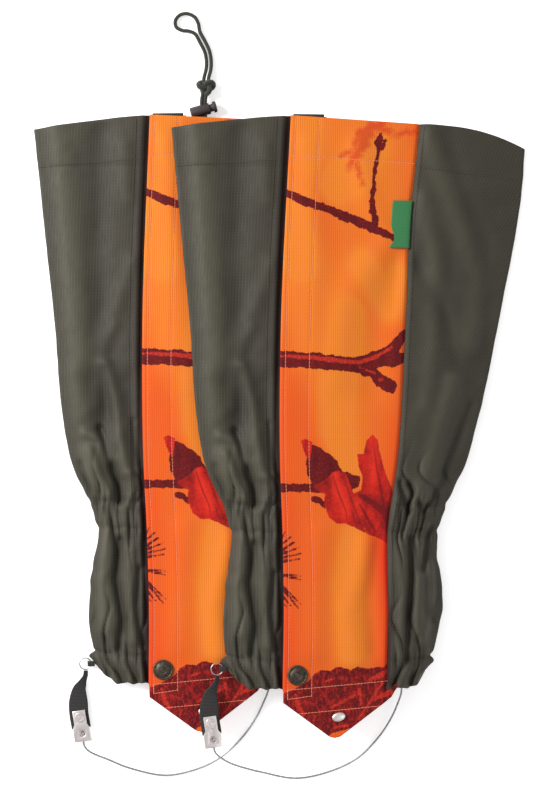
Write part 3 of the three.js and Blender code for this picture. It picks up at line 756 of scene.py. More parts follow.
def orange_cloth():
    material, b, shader = blank(
        "printed orange cloth", Sheen_Weight=0.0, Specular_IOR_Level=0.18
    )
    cut = b.cut()
    weave = b.group(WEAVE, Cut=cut, Threads=1500.0, Ribs=590.0)
    # Painted shade and light: the orange goes from pale to red as the painted shading mark rises,
    # redder beside the seams and paler along the light bands.
    painted_shading = b.mark("painted_shading")
    shaded_orange = b.mix(b.span(painted_shading, 0.0, 0.4), tone(232, 132, 42), tone(227, 96, 29))
    shaded_orange = b.mix(b.span(painted_shading, 0.4, 1.0), shaded_orange, tone(224, 46, 20))
    ribbed = b.mix(b.times(weave["Rib"], 0.42), shaded_orange, tone(186, 62, 20))

    def ink(mark, ragged, blur):
        return b.group(INK_EDGE, Distance=b.mark(mark), Cut=cut, Ragged=ragged, Blur=blur)[0]

    mottle = b.span(b.noise(cut, 560.0, 5.0, 0.7), 0.47, 0.62)
    broad = b.span(b.noise(b.stretch(cut, 150, 60), 1.0, 3.0), 0.42, 0.62)
    faded = b.times(ink("faded ink", 9.0, 5.0), 0.72)
    base = b.mix(faded, ribbed, tone(196, 48, 26))
    grain = b.span(b.noise(b.stretch(cut, 420, 170), 1.0, 4.0, 0.7), 0.5, 0.6)
    coarse = b.times(mottle, b.span(b.mark("bark"), 0.0, 1.0, 0.45, 1.0))
    grain = b.times(grain, b.mark("bark"))
    dark = b.mix(coarse, tone(92, 12, 16), tone(152, 28, 26))
    dark = b.mix(b.times(broad, 0.6), dark, tone(76, 10, 16))
    dark = b.mix(b.times(grain, 0.6), dark, tone(186, 38, 30))
    base = b.mix(ink("dark ink", 2.4, 0.6), base, dark)
    light = b.times(ink("light ink", 3.0, 1.0), b.span(mottle, 0.0, 1.0, 0.5, 1.0))
    base = b.mix(light, base, tone(206, 50, 34))
    leaf = b.mix(broad, tone(190, 28, 18), tone(146, 16, 16))
    leaf = b.mix(b.times(mottle, 0.35), leaf, tone(212, 54, 34))
    leaf = b.mix(b.times(ink("leaf shade", 9.0, 9.0), 0.85), leaf, tone(84, 9, 16))
    leaf = b.mix(b.times(ink("leaf glow", 8.0, 7.0), 0.7), leaf, tone(226, 50, 28))
    base = b.mix(ink("leaf ink", 1.3, 0.6), base, leaf)
    vein = b.times(ink("vein ink", 0.5, 0.8), 0.75)
    base = b.mix(vein, base, tone(104, 12, 18))
    b.feed(shader["Base Color"], base)
    b.feed(shader["Roughness"], b.span(weave["Slub"], 0.3, 0.7, 0.6, 0.72))
    bump(b, shader, weave["Height"], 0.28, 0.0001)
    return material


def metal(name, clean, dull, amount, gloss, metallic=1.0):
    material, b, shader = blank(name, Metallic=metallic)
    worn = b.group(TARNISH, Place=b.place(), Clean=clean, Dull=dull, Amount=amount, Gloss=gloss)
    b.feed(shader["Base Color"], worn["Color"])
    b.feed(shader["Roughness"], worn["Roughness"])
    bump(b, shader, worn["Height"], 0.12, 0.00006)
    return material


def braided(name, dark, light, beats, turns, rough=0.85):
    """Cord or thread whose strands wind both ways, over its length and turn."""
    material, b, shader = blank(name, Sheen_Weight=0.2, Roughness=rough)
    u, v = b.split(b.cut())[:2]
    length, turned = b.times(u, beats), b.times(v, turns)
    one = b.math("PINGPONG", b.plus(length, turned), 0.5)
    two = b.math("PINGPONG", b.minus(length, turned), 0.5)
    height = b.times(b.math("MAXIMUM", one, two), 2.0)
    b.feed(shader["Base Color"], b.mix(height, dark, light))
    bump(b, shader, height, 0.6, 0.00025)
    return material


def ribbed(name, dark, light, across, lengthwise, rough=0.85, depth=0.0002):
    """Webbing, tape or elastic: ribs across and finer threads along."""
    material, b, shader = blank(name, Sheen_Weight=0.1, Roughness=rough)
    u, v = b.split(b.cut())[:2]
    one = b.math("PINGPONG", b.times(u, across), 0.5)
    two = b.math("PINGPONG", b.times(v, lengthwise), 0.5)
    height = b.plus(one, two)
    fluff = b.noise(b.cut(), 900.0, 3.0)
    share = b.plus(b.times(height, 0.7), b.times(fluff, 0.3))
    b.feed(shader["Base Color"], b.mix(share, dark, light))
    bump(b, shader, b.plus(height, b.times(fluff, 0.4)), 0.7, depth)
    return material


OLIVE = olive_cloth()
ORANGE = orange_cloth()
BRONZE = metal("aged bronze", tone(92, 84, 74), tone(44, 38, 34), 0.6, 0.5)
NICKEL = metal("brushed nickel", tone(246, 238, 236), tone(196, 186, 180), 0.4, 0.3)
STEEL = metal("steel wire", tone(190, 190, 190), tone(110, 108, 104), 0.5, 0.28)
CABLE = metal("stranded steel", tone(176, 178, 180), tone(96, 96, 98), 0.4, 0.32)
PLASTIC = metal("moulded plastic", tone(62, 50, 52), tone(44, 36, 38), 0.7, 0.42, 0.0)
DRAWCORD = braided("braided cord", tone(22, 23, 18), tone(56, 57, 46), 9.0, 6.0)
ORANGE_THREAD = braided("salmon thread", tone(232, 110, 74), tone(244, 158, 118), 30.0, 4.0, 0.7)
OLIVE_THREAD = braided("olive thread", tone(34, 32, 27), tone(60, 57, 48), 30.0, 4.0, 0.7)
TAPE = ribbed("closing tape", tone(22, 20, 18), tone(52, 48, 44), 900.0, 900.0, 0.95, 0.0003)
ELASTIC = ribbed("ribbed elastic", tone(34, 33, 28), tone(70, 68, 58), 60.0, 700.0)
WEBBING = ribbed("black webbing", tone(18, 17, 17), tone(50, 47, 46), 700.0, 380.0, 0.8)
GREEN = ribbed("green woven ribbon", tone(26, 92, 48), tone(54, 134, 76), 1500.0, 700.0, 0.75)


# ---- camera and cords ----

bpy.ops.object.select_all(action="DESELECT")
bpy.ops.object.camera_add(location=(-0.0016, 0.0222, 1.747), rotation=(0, 0, 0))
camera = bpy.context.object
camera.name = "overhead camera"
camera.data.lens = 100
camera.data.sensor_width = 36
camera.data.sensor_fit = "AUTO"
camera.data.clip_start = 0.05
bpy.context.scene.camera = camera

CABLE_ROUTES = {
    "left": [
        (-153.2, -245, 2.3), (-152.7, -248.6, 2.1), (-150.2, -252.6, 1.5),
        (-144.6, -256, 1.1), (-134.6, -259.9, 1), (-116.4, -267.1, 1), (-89.6, -272.6, 1),
        (-65.3, -268.1, 1), (-45.8, -258.6, 1), (-29, -243.4, 1), (-17.6, -227.2, 1),
        (-10.6, -212.6, 2), (-7.8, -204.8, 3.4), (-7.2, -200.4, 4.1), (-7.2, -193.4, 4.1),
    ],
    "right": [
        (-50.2, -246.8, 22.8), (-49.6, -250.4, 22), (-46.4, -254.6, 20.4),
        (-38.6, -260, 17), (-28.6, -264.4, 12.6), (-12.4, -269.4, 6.8), (13.6, -274.8, 1.8),
        (40.2, -269.6, 1), (62.4, -258.8, 1), (78, -243.2, 1.8), (88.2, -227.2, 4.8),
        (94, -213, 8.8), (95.8, -206.4, 11.4), (96, -202.6, 12.2), (96, -196.6, 12.2),
    ],
}
CABLE_D = 1.6
CORD_D = 2.9
CORD_EXIT = (-58.81, 242.91)
KNOT_AT = (2, 24.7, 4.9)
CORD_ROUTE = [
    (1.4, -23, 4.8), (1.4, -10, 4.8), (1.4, 2, 4.8), (1.4, 14, 4.8), (2.2, 19, 4.8),
    (3.4, 25, 4.6), (3.9, 31.6, 4.2), (5.6, 38.6, 2.4), (5.9, 45.6, 1.7), (4.5, 53.6, 1.7),
    (0.8, 61.6, 1.7), (-3, 68.6, 1.7), (-4.2, 74.9, 1.7), (-7.2, 80.1, 1.7),
    (-12.7, 82.7, 1.7), (-18.5, 81.7, 1.7), (-22.2, 77.3, 1.7), (-21.5, 72.1, 1.7),
    (-16.8, 69.5, 1.7), (-11.2, 68.9, 1.7), (-6.4, 66.3, 1.7), (-2.8, 59.9, 1.7),
    (0.8, 52.7, 1.7), (2.2, 45.6, 1.7), (1.9, 38.6, 2.4), (0.3, 31.6, 4.2),
    (0.2, 25, 4.6), (-0.6, 19, 4.8), (-1.4, 14, 4.8), (-1.4, 2, 4.8), (-1.4, -10, 4.8),
    (-1.4, -23, 4.8),
]


def foot_cable(side):
    route, length = smooth_route(CABLE_ROUTES[side], 1.2)
    obj = tube(f"{side}_steel_cable", route, CABLE_D / 2, 18, lobes=6, twist=0.7)
    settle(side, to_metres(obj), None, "steel_cable", CABLE, "foot_cable")
    middle, end = route[len(route) // 2] * MM, route[0] * MM
    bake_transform(obj)
    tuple(middle)
    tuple(end)


def drawcord_end():
    route, length = smooth_route(CORD_ROUTE, 1.0)
    route[:, 0] += CORD_EXIT[0]
    route[:, 1] += CORD_EXIT[1]
    obj = tube("left_drawcord_end", route, CORD_D / 2, 12)
    settle("left", to_metres(obj), "gaiter", "cord", DRAWCORD, "cord_tail", "cord_loop")


# ---- the printed motifs ----
# Lines are (x, y, half width) and patches are outlines of (x, y).

BRANCHES = [
    [(2, 384, 2.4), (18, 377, 2.6), (36, 371, 2.4), (48, 366, 3.4), (60, 361, 2.6),
     (88, 349, 2.2)],
    [(76, 427, 1.4), (74, 414, 0.8), (71, 399, 1.0), (70, 380, 0.8), (70, 372, 1.8),
     (72, 360, 1.5)],
    [(76, 430, 0.6), (73, 424, 1.2), (77, 419, 1.6), (80, 425, 0.5)],
    [(-3, 256, 5.5), (23, 254, 5.6), (46, 252, 5.2), (60, 251, 5.4), (76, 256, 6), (87, 264, 4),
     (95, 276, 2.4)],
    [(72, 256, 5.5), (87, 255, 4.8), (97, 257, 2.4)],
    [(58, 249, 4), (71, 245, 3.4), (75, 240, 3.8)],
    [(78, 238, 4.6), (83, 235, 5.2)],
    [(-3, 156, 2.6), (15, 156, 2.6), (30, 155, 2.8)],
    [(24, 147, 1.8), (28, 146.5, 1.6), (33, 142, 0.8)],
]
CONE = [
    (18, 178), (20, 190), (26, 189), (33, 184), (38, 181), (42, 177), (44, 172), (47, 168),
    (50, 168), (55, 166), (61, 165), (59, 156), (51, 154), (38, 158), (23, 159), (19, 166),
]
CONE_TIP = [(14, 192), (18, 194), (23, 191), (22, 184), (21, 176), (18, 180)]
LEFT_LEAF = [
    (24, 157), (33, 162), (39, 168), (43, 169), (49, 167), (53, 157), (58, 143), (62, 128),
    (66, 120), (56, 125), (49, 128), (42, 128), (36, 133), (32, 143), (33, 151), (26, 154),
]
RIGHT_LEAF = [
    (58, 182), (63, 182), (65, 192), (70, 197), (74, 193), (75, 186), (78, 174), (82, 162),
    (87, 150), (91, 138), (91, 118), (85, 108), (79, 114), (74, 117), (66, 120), (62, 128),
    (58, 140), (52, 150), (61, 154), (62, 164), (59, 172),
]
VEINS = [
    [(39, 165, 0.5), (44, 150, 0.7), (49, 138, 0.5), (50, 130, 0.3)],
    [(47, 164, 0.4), (53, 148, 0.6), (60, 128, 0.4)],
    [(70, 194, 0.3), (73, 172, 0.7), (78, 146, 0.8), (82, 114, 0.4)],
    [(60, 150, 1.6), (70, 144, 2.4), (80, 136, 3.0), (86, 122, 3.2)],
    [(60, 143, 0.8), (66, 132, 1.2), (72, 122, 0.6)],
]
LEAF_SHADE = [
    [(66, 147, 2), (80, 140, 5), (86, 122, 6)],
    [(84, 165, 1), (88, 150, 3)],
    [(26, 156, 1), (34, 160, 2)],
    [(60, 128, 1), (66, 124, 2)],
]
LEAF_GLOW = [
    [(70, 193, 2), (72, 178, 3), (70, 162, 2)],
    [(40, 166, 2), (44, 152, 4), (48, 138, 4)],
    [(56, 148, 1), (60, 136, 2)],
]
NEEDLES = [
    [(-1, 116), (2, 122)], [(0, 113), (6, 118)], [(-1, 107), (9, 114)], [(0, 105), (13, 110)],
    [(0, 102), (14, 105)], [(0, 99), (13, 101)], [(0, 89), (14, 88)], [(0, 88), (14, 85)],
    [(0, 80), (14, 66)], [(0, 78), (12, 63)], [(0, 72), (6, 65)], [(0, 67), (3, 64)],
]
FADED = [
    [(66, 430, 6), (58, 416, 4), (52, 404, 2)],
    [(76, 437, 5), (68, 434, 3.5), (59, 431, 2.5), (56, 418, 2), (46, 413, 1.2)],
    [(57, 420, 2), (57, 405, 2), (62, 392, 1)],
    [(78, 434, 3), (88, 430, 1.5), (103, 432, 1)],
]
BARK = [
    (-6, -14), (-6, -3.5), (3, -2.5), (7, 0), (16, 4), (22, 8), (24, 12), (30, 15), (37, 14),
    (42, 17.5), (50, 16), (53, 14.5), (58, 17.5), (67, 15.5), (75, 17), (79, 17), (84, 22), (94, 14),
    (96, -6), (86, -9), (57, -30), (50, -31), (38, -34.5), (35, -37), (20, -40),
]
BARK_LIGHT = [
    [(58, 3, 0.7), (60, -4, 1.2), (61, -12, 0.6)],
    [(78, 5, 0.8), (72, -4, 0.9), (66, -13, 0.8), (59, -23, 1.2)],
    [(38, -14, 1.2), (46, -10, 1.0), (56, -5, 0.8)],
    [(68, 7, 1.2), (74, 10, 2.0), (80, 13, 2.2)],
    [(10, -4, 0.8), (11, -11, 1.8), (16, -19, 1.5)],
    [(30, 5, 0.6), (40, 8, 0.5)],
    [(72, -8, 1.0), (84, -3, 2.0)],
    [(40, -30, 0.6), (50, -28, 1.2)],
]
BRANCH_LIGHT = [
    [(-3, 258, 1.0), (23, 256.5, 1.6), (46, 254, 1.8), (60, 253, 1.6), (74, 258, 1.4),
     (85, 265, 1.0)],
    [(60, 249, 0.6), (72, 244.5, 0.8)],
    [(76, 239.5, 1.2), (77, 240, 1.3)],
]


def nearest(x, y, lines):
    return np.minimum.reduce([path_distance(x, y, line) for line in lines])


def print_marks(x, y):
    """How far each point of the orange cloth is from each ink's outline, in millimetres."""
    knots = 1.1 * np.maximum(soft_noise(x, y, 4.5, 91), 0) + 0.5 * soft_noise(x, y, 2.6, 92)
    needles = [[(*root, 0.95), (*tip, 0.6)] for root, tip in NEEDLES]
    dark = np.minimum.reduce([
        patch_distance(x, y, BARK), patch_distance(x, y, CONE),
        nearest(x, y, BRANCHES) - 0.5 - knots, nearest(x, y, needles),
    ])
    leaf = np.minimum.reduce([
        patch_distance(x, y, outline) for outline in (LEFT_LEAF, RIGHT_LEAF, CONE_TIP)
    ])
    return {
        "dark ink": dark,
        "leaf ink": leaf,
        "vein ink": np.maximum(nearest(x, y, VEINS), leaf + 0.5),
        "light ink": np.maximum(nearest(x, y, BARK_LIGHT + BRANCH_LIGHT), dark + 0.4),
        "faded ink": nearest(x, y, FADED),
        "bark": step(30, 24, y),
        "leaf shade": nearest(x, y, LEAF_SHADE),
        "leaf glow": nearest(x, y, LEAF_GLOW),
        # Painted shading of the orange: redder by the seams, paler along the painted light bands.
        "painted_shading": painted_fold_shading(x, y),
    }


# Lines along which the orange is painted paler: painted light on soft folds.
PAINTED_LIGHT_BANDS = [
    [(16, 436, 3), (12, 380, 4), (14, 330, 2)],
    [(52, 290, 1), (44, 240, 3), (40, 200, 3), (50, 168, 1)],
    [(62, 330, 1), (84, 296, 3), (90, 320, 1)],
    [(56, 120, 1), (50, 80, 4), (54, 30, 2)],
    [(40, 390, 2), (56, 400, 3), (70, 420, 1)],
]


def painted_fold_shading(x, y):
    """Painted shade and light on the orange: redder beside the seams and along soft slanting bands,
    paler along the painted light bands.
    """
    body = np.clip(y, 0, TOP)
    by_edge = np.exp(-np.maximum(x - edge_x(body), 0) / 11)
    by_seam = np.exp(-np.maximum(seam_x(body) - x, 0) / 8)
    bands = soft_noise(x + 0.35 * y, y * 0.3, 30, 55)
    low = step(300, 80, y)
    pale = bell(np.maximum(nearest(x, y, PAINTED_LIGHT_BANDS), 0), 11)
    return np.clip(
        0.26 + 0.2 * bands - 0.4 * pale + (0.08 + 0.4 * low) * by_edge
        + (0.2 + 0.5 * low) * by_seam + 0.08 * low, 0, 1
    )


# ---- the cloth of one gaiter ----

# Strips of the olive tube: where each starts and ends across itself, and its columns.
ZONES = (
    ("underlap", 1, 0.14, 6), ("outer", 1, 0, 46), ("outer fold", 0, 0, 1), ("back", 0, 1, 30),
    ("inner fold", 0, 0, 1), ("inner", 1, 0, 44), ("allowance", 0.5, 1, 2),
)
BACK_DROP = ((0, 0.33, 0.7, 1), (8.2, 0, 6, 22.2))
BULGE = {"left": 5.0, "right": 2.6}


def leg_cloth(side):
    """The olive tube: underlap, outer panel, back and inner panel in one wrapped cloth."""
    rows = np.linspace(0, 1, 262) ** 0.96
    columns = [(zone, t) for zone, *ends, count in ZONES for t in np.linspace(*ends, count)]
    grid = np.zeros((len(rows), len(columns), 3))
    relief, shade = np.zeros((2, *grid.shape[:2]))
    for j, (zone, t) in enumerate(columns):
        top = {
            "underlap": TOP - 2.4 + 1.8 * t,
            "outer": TOP - OUTER_DROP * (1 - t) ** 1.4,
            "outer fold": TOP - OUTER_DROP,
            "back": TOP - 0.8 - float(np.interp(t, *BACK_DROP)),
            "inner fold": TOP - INNER_DROP,
            "inner": TOP - SEAM_DROP - (INNER_DROP - SEAM_DROP) * t**2.4,
            "allowance": TOP - SEAM_DROP,
        }
        y = rows * top[zone]
        edge, outer, seam, inner = edge_x(y), outer_x(y), seam_x(y), inner_x(y)
        pinch = sum(bell(y - row, 3.2) for row in (*ANKLE_ROWS, HEM_ROW))
        calm = 1 - 0.75 * step(150, 230, y)
        puff = 0.7 * calm * soft_noise(y, y * 0, 9, 61) - 1.5 * pinch
        frill = 4.6 * bell(y - 14, 6)
        bulge = BULGE[side] * step(118, 90, y) * step(22, 50, y)
        outer = outer - (puff + frill + bulge) * (0.9 if zone != "underlap" else 0)
        inner = inner + 0.7 * calm * soft_noise(y, y * 0, 10, 62) - 1.5 * pinch + frill
        if zone == "underlap":
            x, z = edge + UNDERLAP * t, UNDERLAP_Z + 0 * y
        elif zone == "outer":
            x = outer + (edge - outer) * t
            z = outer_height(x, y, t)
            relief[:, j] = outer_relief(x, y, t + 0 * y)
            # Painted shadow beside the flap's edge, carried by the shade mark.
            shade[:, j] = flap_gap_painted_shade((1 - t) * along(OUTER_WIDTHS, y))
        elif zone == "outer fold":
            x, z = outer - 0.5, (FOLD_Z + BACK_Z) / 2 + 0 * y
        elif zone == "back":
            x, z = outer + (inner - outer) * t, BACK_Z + 0 * y
        elif zone == "inner fold":
            x, z = inner + 0.5, (FOLD_Z + BACK_Z) / 2 + 0 * y
        elif zone == "inner":
            x = seam + (inner - seam) * t
            z = inner_height(x, y, t)
            relief[:, j] = inner_relief(x, y, t + 0 * y)
            # Painted shadow in the gap at the inner seam near the hem, carried by the shade mark.
            shade[:, j] = step(4.2, 1.8, t * (inner - seam)) * step(80, 46, y) * step(0, 4, y)
        else:
            x, z = seam - 3 * t, FRONT_Z - 1.9 + 0 * y
        wave = 0.8 * np.sin(2 * np.pi * x / 12 + 1) + 0.25 * np.sin(x / 1.1)
        hem = step(HEM_ROW * 0.8, 0, y) * wave * (zone in ("outer", "inner", "inner fold"))
        corner = 14.5 * np.clip(1 - (x - outer) / 17, 0, 1) ** 1.2
        corner = corner + 11 * np.clip(1 - (inner - x) / 10, 0, 1) ** 1.8
        corner = corner * np.clip(1 - y / (HEM_ROW + 6), 0, 1) * (zone != "underlap")
        grid[:, j] = np.stack([x, y - 0.8 * hem + corner, z], 1)
    across = np.abs(np.diff(grid[:, :, 0], axis=1, prepend=grid[:, :1, 0]))
    cut = np.stack([np.cumsum(across, axis=1), grid[:, :, 1]], -1)
    marks = {"relief": relief, "shade": shade}
    obj = place(side, woven_sheet(f"{side}_leg_cloth", grid, cut, CLOTH, marks))
    panels = ("outer_panel", "inner_panel", "back_panel")
    settle(side, obj, "gaiter", "olive_cloth", OLIVE, *panels)
    y = np.linspace(0, TOP, 200)
    girth = UNDERLAP + 2 * (along(OUTER_WIDTHS, y) + along(INNER_WIDTHS, y))
    girth = girth + along(FRONT_WIDTHS, y)


def tongue_bottom(x):
    left = -10 - 30 * x / TONGUE_TIP
    right = -40 + 0.75 * (x - TONGUE_TIP) + 0.85 * np.maximum(x - 85, 0)
    pointed = np.where(x < TONGUE_TIP, left, right)
    return pointed + 2.0 * bell(x - TONGUE_TIP, 2.6)


def front_cloth(side):
    """The printed front with its tongue, in one piece."""
    share = np.linspace(0, 1, 100)
    rows = []
    for v in np.linspace(1, 0, 42)[:-1]:
        x = share * (TONGUE_WIDTH + 9 * step(0, 0.3, v)) + 0.5 * step(0, 0.2, v)
        tuck = 5 * step(0, 0.3, v) * (1 - v) * step(76, 86, x)
        rows.append(np.stack([x, tongue_bottom(x) * v + tuck], 1))
    for v in np.linspace(0, 1, 356):
        edge = edge_x(v * TOP)
        x = edge + (seam_x(v * TOP) - edge) * share
        rows.append(np.stack([x, v * front_top(x)], 1))
    flat = np.array(rows)
    x, y = flat[..., 0], flat[..., 1]
    grid = np.stack([x, y, front_height(x, y)], -1)
    obj = woven_sheet(f"{side}_printed_front", grid, flat + 60, CLOTH, print_marks(x, y))
    settle(side, place(side, obj), None, "orange_cloth", ORANGE, "front_panel", "front_flap")
    bend_with_flap(side, obj)
    width = float(np.mean(along(FRONT_WIDTHS, np.linspace(0, TOP, 100))))


def bend_with_flap(side, obj):
    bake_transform(obj)


# ---- stitching ----


def one_stitch():
    """A single sewn stitch: a short thread that swells in the middle and dives at its ends."""
    bpy.ops.object.select_all(action="DESELECT")
    bpy.ops.mesh.primitive_cylinder_add(
        vertices=6, radius=0.25, depth=1.3, rotation=(0, math.pi / 2, 0)
    )
    obj = bpy.context.object
    bpy.ops.object.transform_apply(location=True, rotation=True, scale=True)
    bpy.ops.object.mode_set(mode="EDIT")
    bpy.ops.mesh.select_mode(type="FACE")
    for end in (-1, 1):
        bpy.ops.mesh.select_all(action="DESELECT")
        bpy.ops.object.mode_set(mode="OBJECT")
        for face in obj.data.polygons:
            face.select = face.normal.x * end > 0.9
        bpy.ops.object.mode_set(mode="EDIT")
        bpy.ops.mesh.extrude_region_move(
            TRANSFORM_OT_translate={"value": (0.55 * end, 0, -0.16)}
        )
        bpy.ops.transform.resize(value=(1, 0.5, 0.5))
    bpy.ops.object.mode_set(mode="OBJECT")
    points = np.array([v.co for v in obj.data.vertices])
    faces = [tuple(p.vertices) for p in obj.data.polygons]
    bpy.data.objects.remove(obj)
    return points, faces


STITCH, STITCH_FACES = one_stitch()


def stitched(name, lines, height, pitch=2.6):
    """A row of stitches along each line, lying on the cloth at its height."""
    points, faces = [], []
    for line in lines:
        route = np.array(line, float)
        reach = np.concatenate([[0], np.cumsum(np.hypot(*np.diff(route, axis=0).T))])
        at = np.arange(pitch / 2, reach[-1], pitch)

        def spots(offset):
            return [np.interp(at + offset, reach, route[:, k]) for k in (0, 1)]

        (x, y), (ahead_x, ahead_y), (back_x, back_y) = spots(0), spots(0.1), spots(-0.1)
        turn = np.arctan2(ahead_y - back_y, ahead_x - back_x)
        for px, py, angle, z in zip(x, y, turn, height(x, y)):
            c, s = math.cos(angle), math.sin(angle)
            first = len(points) * len(STITCH)
            points.append(np.stack([
                px + STITCH[:, 0] * c - STITCH[:, 1] * s,
                py + STITCH[:, 0] * s + STITCH[:, 1] * c,
                z + CLOTH / 2 + 0.12 + STITCH[:, 2],
            ], 1))
            faces += [tuple(first + v for v in face) for face in STITCH_FACES]
    obj = mesh_piece(name, np.concatenate(points), faces)
    layer = obj.data.uv_layers.new(name="cut")
    flat = np.stack([STITCH[:, 0] * 0.1 + 0.2, STITCH[:, 1] + 0.5], 1)
    for loop in obj.data.loops:
        layer.data[loop.index].uv = flat[loop.vertex_index % len(STITCH)]
    bpy.ops.object.shade_smooth_by_angle(angle=math.radians(60))
    return obj


def line_up(offset, low, high, base):
    return [(float(base(y)) + offset, float(y)) for y in np.linspace(low, high, 60)]


def front_stitching(side):
    lines = [
        line_up(4, -8, TOP - 2, edge_x),
        line_up(PEEL_X, -6, TOP - 2, edge_x),
        [(float(x), float(front_top(x)) - TOP_SEAM) for x in np.linspace(7, 105, 40)],
        [(3.4, -0.5), (84, 6)],
        [(3.6, -0.5), (3.8, -7.6), (23.5, -5)],
        [(11.5, -19), (75, -13.6)],
    ]
    obj = stitched(f"{side}_front_stitching", lines, front_height)
    settle(side, place(side, obj), None, "orange_cloth", ORANGE_THREAD)
    bend_with_flap(side, obj)


def leg_stitching(side):
    def outer_z(x, y):
        return outer_height(x, y, (x - outer_x(y)) / (edge_x(y) - outer_x(y)))

    def inner_z(x, y):
        return inner_height(x, y, (x - seam_x(y)) / (inner_x(y) - seam_x(y)))

    outer_lines = [
        [(x, OUTER_TOP_SEAM + 0.06 * (x + 80)) for x in np.linspace(-82, -2, 40)],
        line_up(-7, 2, TOP - 3, edge_x),
        line_up(-10.5, 2, TOP - 3, edge_x),
    ]
    inner_lines = [
        [(x, INNER_TOP_SEAM - 0.1 * (x - 108)) for x in np.linspace(110, 186, 40)],
        line_up(3.5, 3, TOP - 9, seam_x),
    ]
    for name, lines, height in (("outer", outer_lines, outer_z), ("inner", inner_lines, inner_z)):
        obj = place(side, stitched(f"{side}_{name}_stitching", lines, height))
        settle(side, obj, "gaiter", "olive_cloth", OLIVE_THREAD)


# ---- bands, tapes, the label and the cord's channel ----


def strip_piece(side, name, node, looks, edges, height, rows, columns, thickness, lift=None):
    """A tape between two lines of the cut: edges(t) gives a point of each."""
    pairs = np.array([edges(t) for t in np.linspace(0, 1, rows)])
    share = np.linspace(0, 1, columns)[None, :, None]
    flat = pairs[:, :1] * (1 - share) + pairs[:, 1:] * share
    z = np.full(flat.shape[:2], float(height))
    if lift is not None:
        z += lift(flat[..., 0], flat[..., 1], share[..., 0] * np.ones(flat.shape[:2]))
    grid = np.concatenate([flat, z[..., None]], -1)
    obj = place(side, woven_sheet(f"{side}_{name}", grid, flat, thickness))
    return settle(side, obj, *looks, node)


def inner_bands(side):
    for name, middle, width in ELASTIC_BANDS:
        start = outer_x(middle) + BAND_INSET
        reach = inner_x(middle) - outer_x(middle) - 2 * BAND_INSET

        def edges(t):
            x = start + reach * t
            return (x, middle + width / 2), (x, middle - width / 2)

        strip_piece(side, f"{name}_band", name, ("gaiter", "elastic", ELASTIC), edges,
                    1.9, 120, 7, 0.7, lambda x, y, s: 0.25 * np.sin(x * 1.6))


def closing_strips(side):
    def hook_edges(t):
        x, y = float(edge_x(TAPE_FOOT + 419 * t)), TAPE_FOOT + 419.2 * t
        return (x + 2, y), (x + 26, y)

    def loop_edges(t):
        y = TAPE_FOOT + 416 * t
        return (float(edge_x(y)) + 2, y), (20.5, y)

    strip_piece(side, "hook_tape", "hook_strip", ("gaiter", "closing_tape", TAPE), hook_edges,
                11.7, 140, 10, 0.75, lambda x, y, s: 0.1 * np.sin(y / 9))
    strip_piece(side, "loop_tape", "loop_strip", ("flap", "closing_tape", TAPE), loop_edges,
                12.8, 140, 8, 0.75)


def label(side):
    """A folded ribbon sewn into the inner seam, standing a little off the cloth."""
    def edges(t):
        y = LABEL_FOOT + LABEL_HEIGHT * t
        x = float(seam_x(y))
        return (x - 14.8, y), (x + 0.4, y)

    def lift(x, y, s):
        return 0.35 * np.sin(s * 2.6) - 0.3 * step(0.85, 1, s) + 0.1 * np.sin(y / 4)

    looks = ("gaiter", "green_label", GREEN)
    strip_piece(side, "green_label", "label_tab", looks, edges, 15.1, 30, 16, 0.6, lift)


def hem_drawcord(side):
    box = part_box(f"{side}_drawcord")
    low, high = np.array(box[0]) / MM, np.array(box[1]) / MM
    middle = (low + high) / 2
    if side == "left":
        a, b = (low[0], low[1] + 1.5, middle[2]), (high[0], high[1] - 1.5, middle[2])
    else:
        a, b = (low[0], middle[1], high[2] - 1.5), (high[0], middle[1], low[2] + 1.5)
    points = np.array(a) + np.linspace(0, 1, 80)[:, None] * (np.array(b) - np.array(a))
    obj = tube(f"{side}_hem_drawcord", points, 1.45, 10)
    settle(side, to_metres(obj), "gaiter", "cord", DRAWCORD, "drawcord")


# ---- fittings ----


def shift(x, y, z=0):
    return Matrix.Translation((x, y, z))


def spin(angle, axis="Z"):
    return Matrix.Rotation(angle, 4, axis)


def eased_fitting(side, node, name, width, looks, laid=False, reshape=None):
    """A CAD piece of one gaiter with eased edges, laid out flat for the weave if it is cloth."""
    obj = eased_copy(f"{side}_{node}", f"{side}_{name}", width, reshape)
    if laid:
        flat_cut(obj)
    return settle(side, obj, *looks, node)


def turned_fitting(side, node, name, looks, sides, profile, moves, hollow=False):
    """A turned piece of one gaiter, moved step by step to its place on the cut."""
    obj = turned_piece(f"{side}_{name}", profile, sides, hollow)
    for move in moves:
        obj.data.transform(move)
    settle(side, place(side, obj), *looks, node)


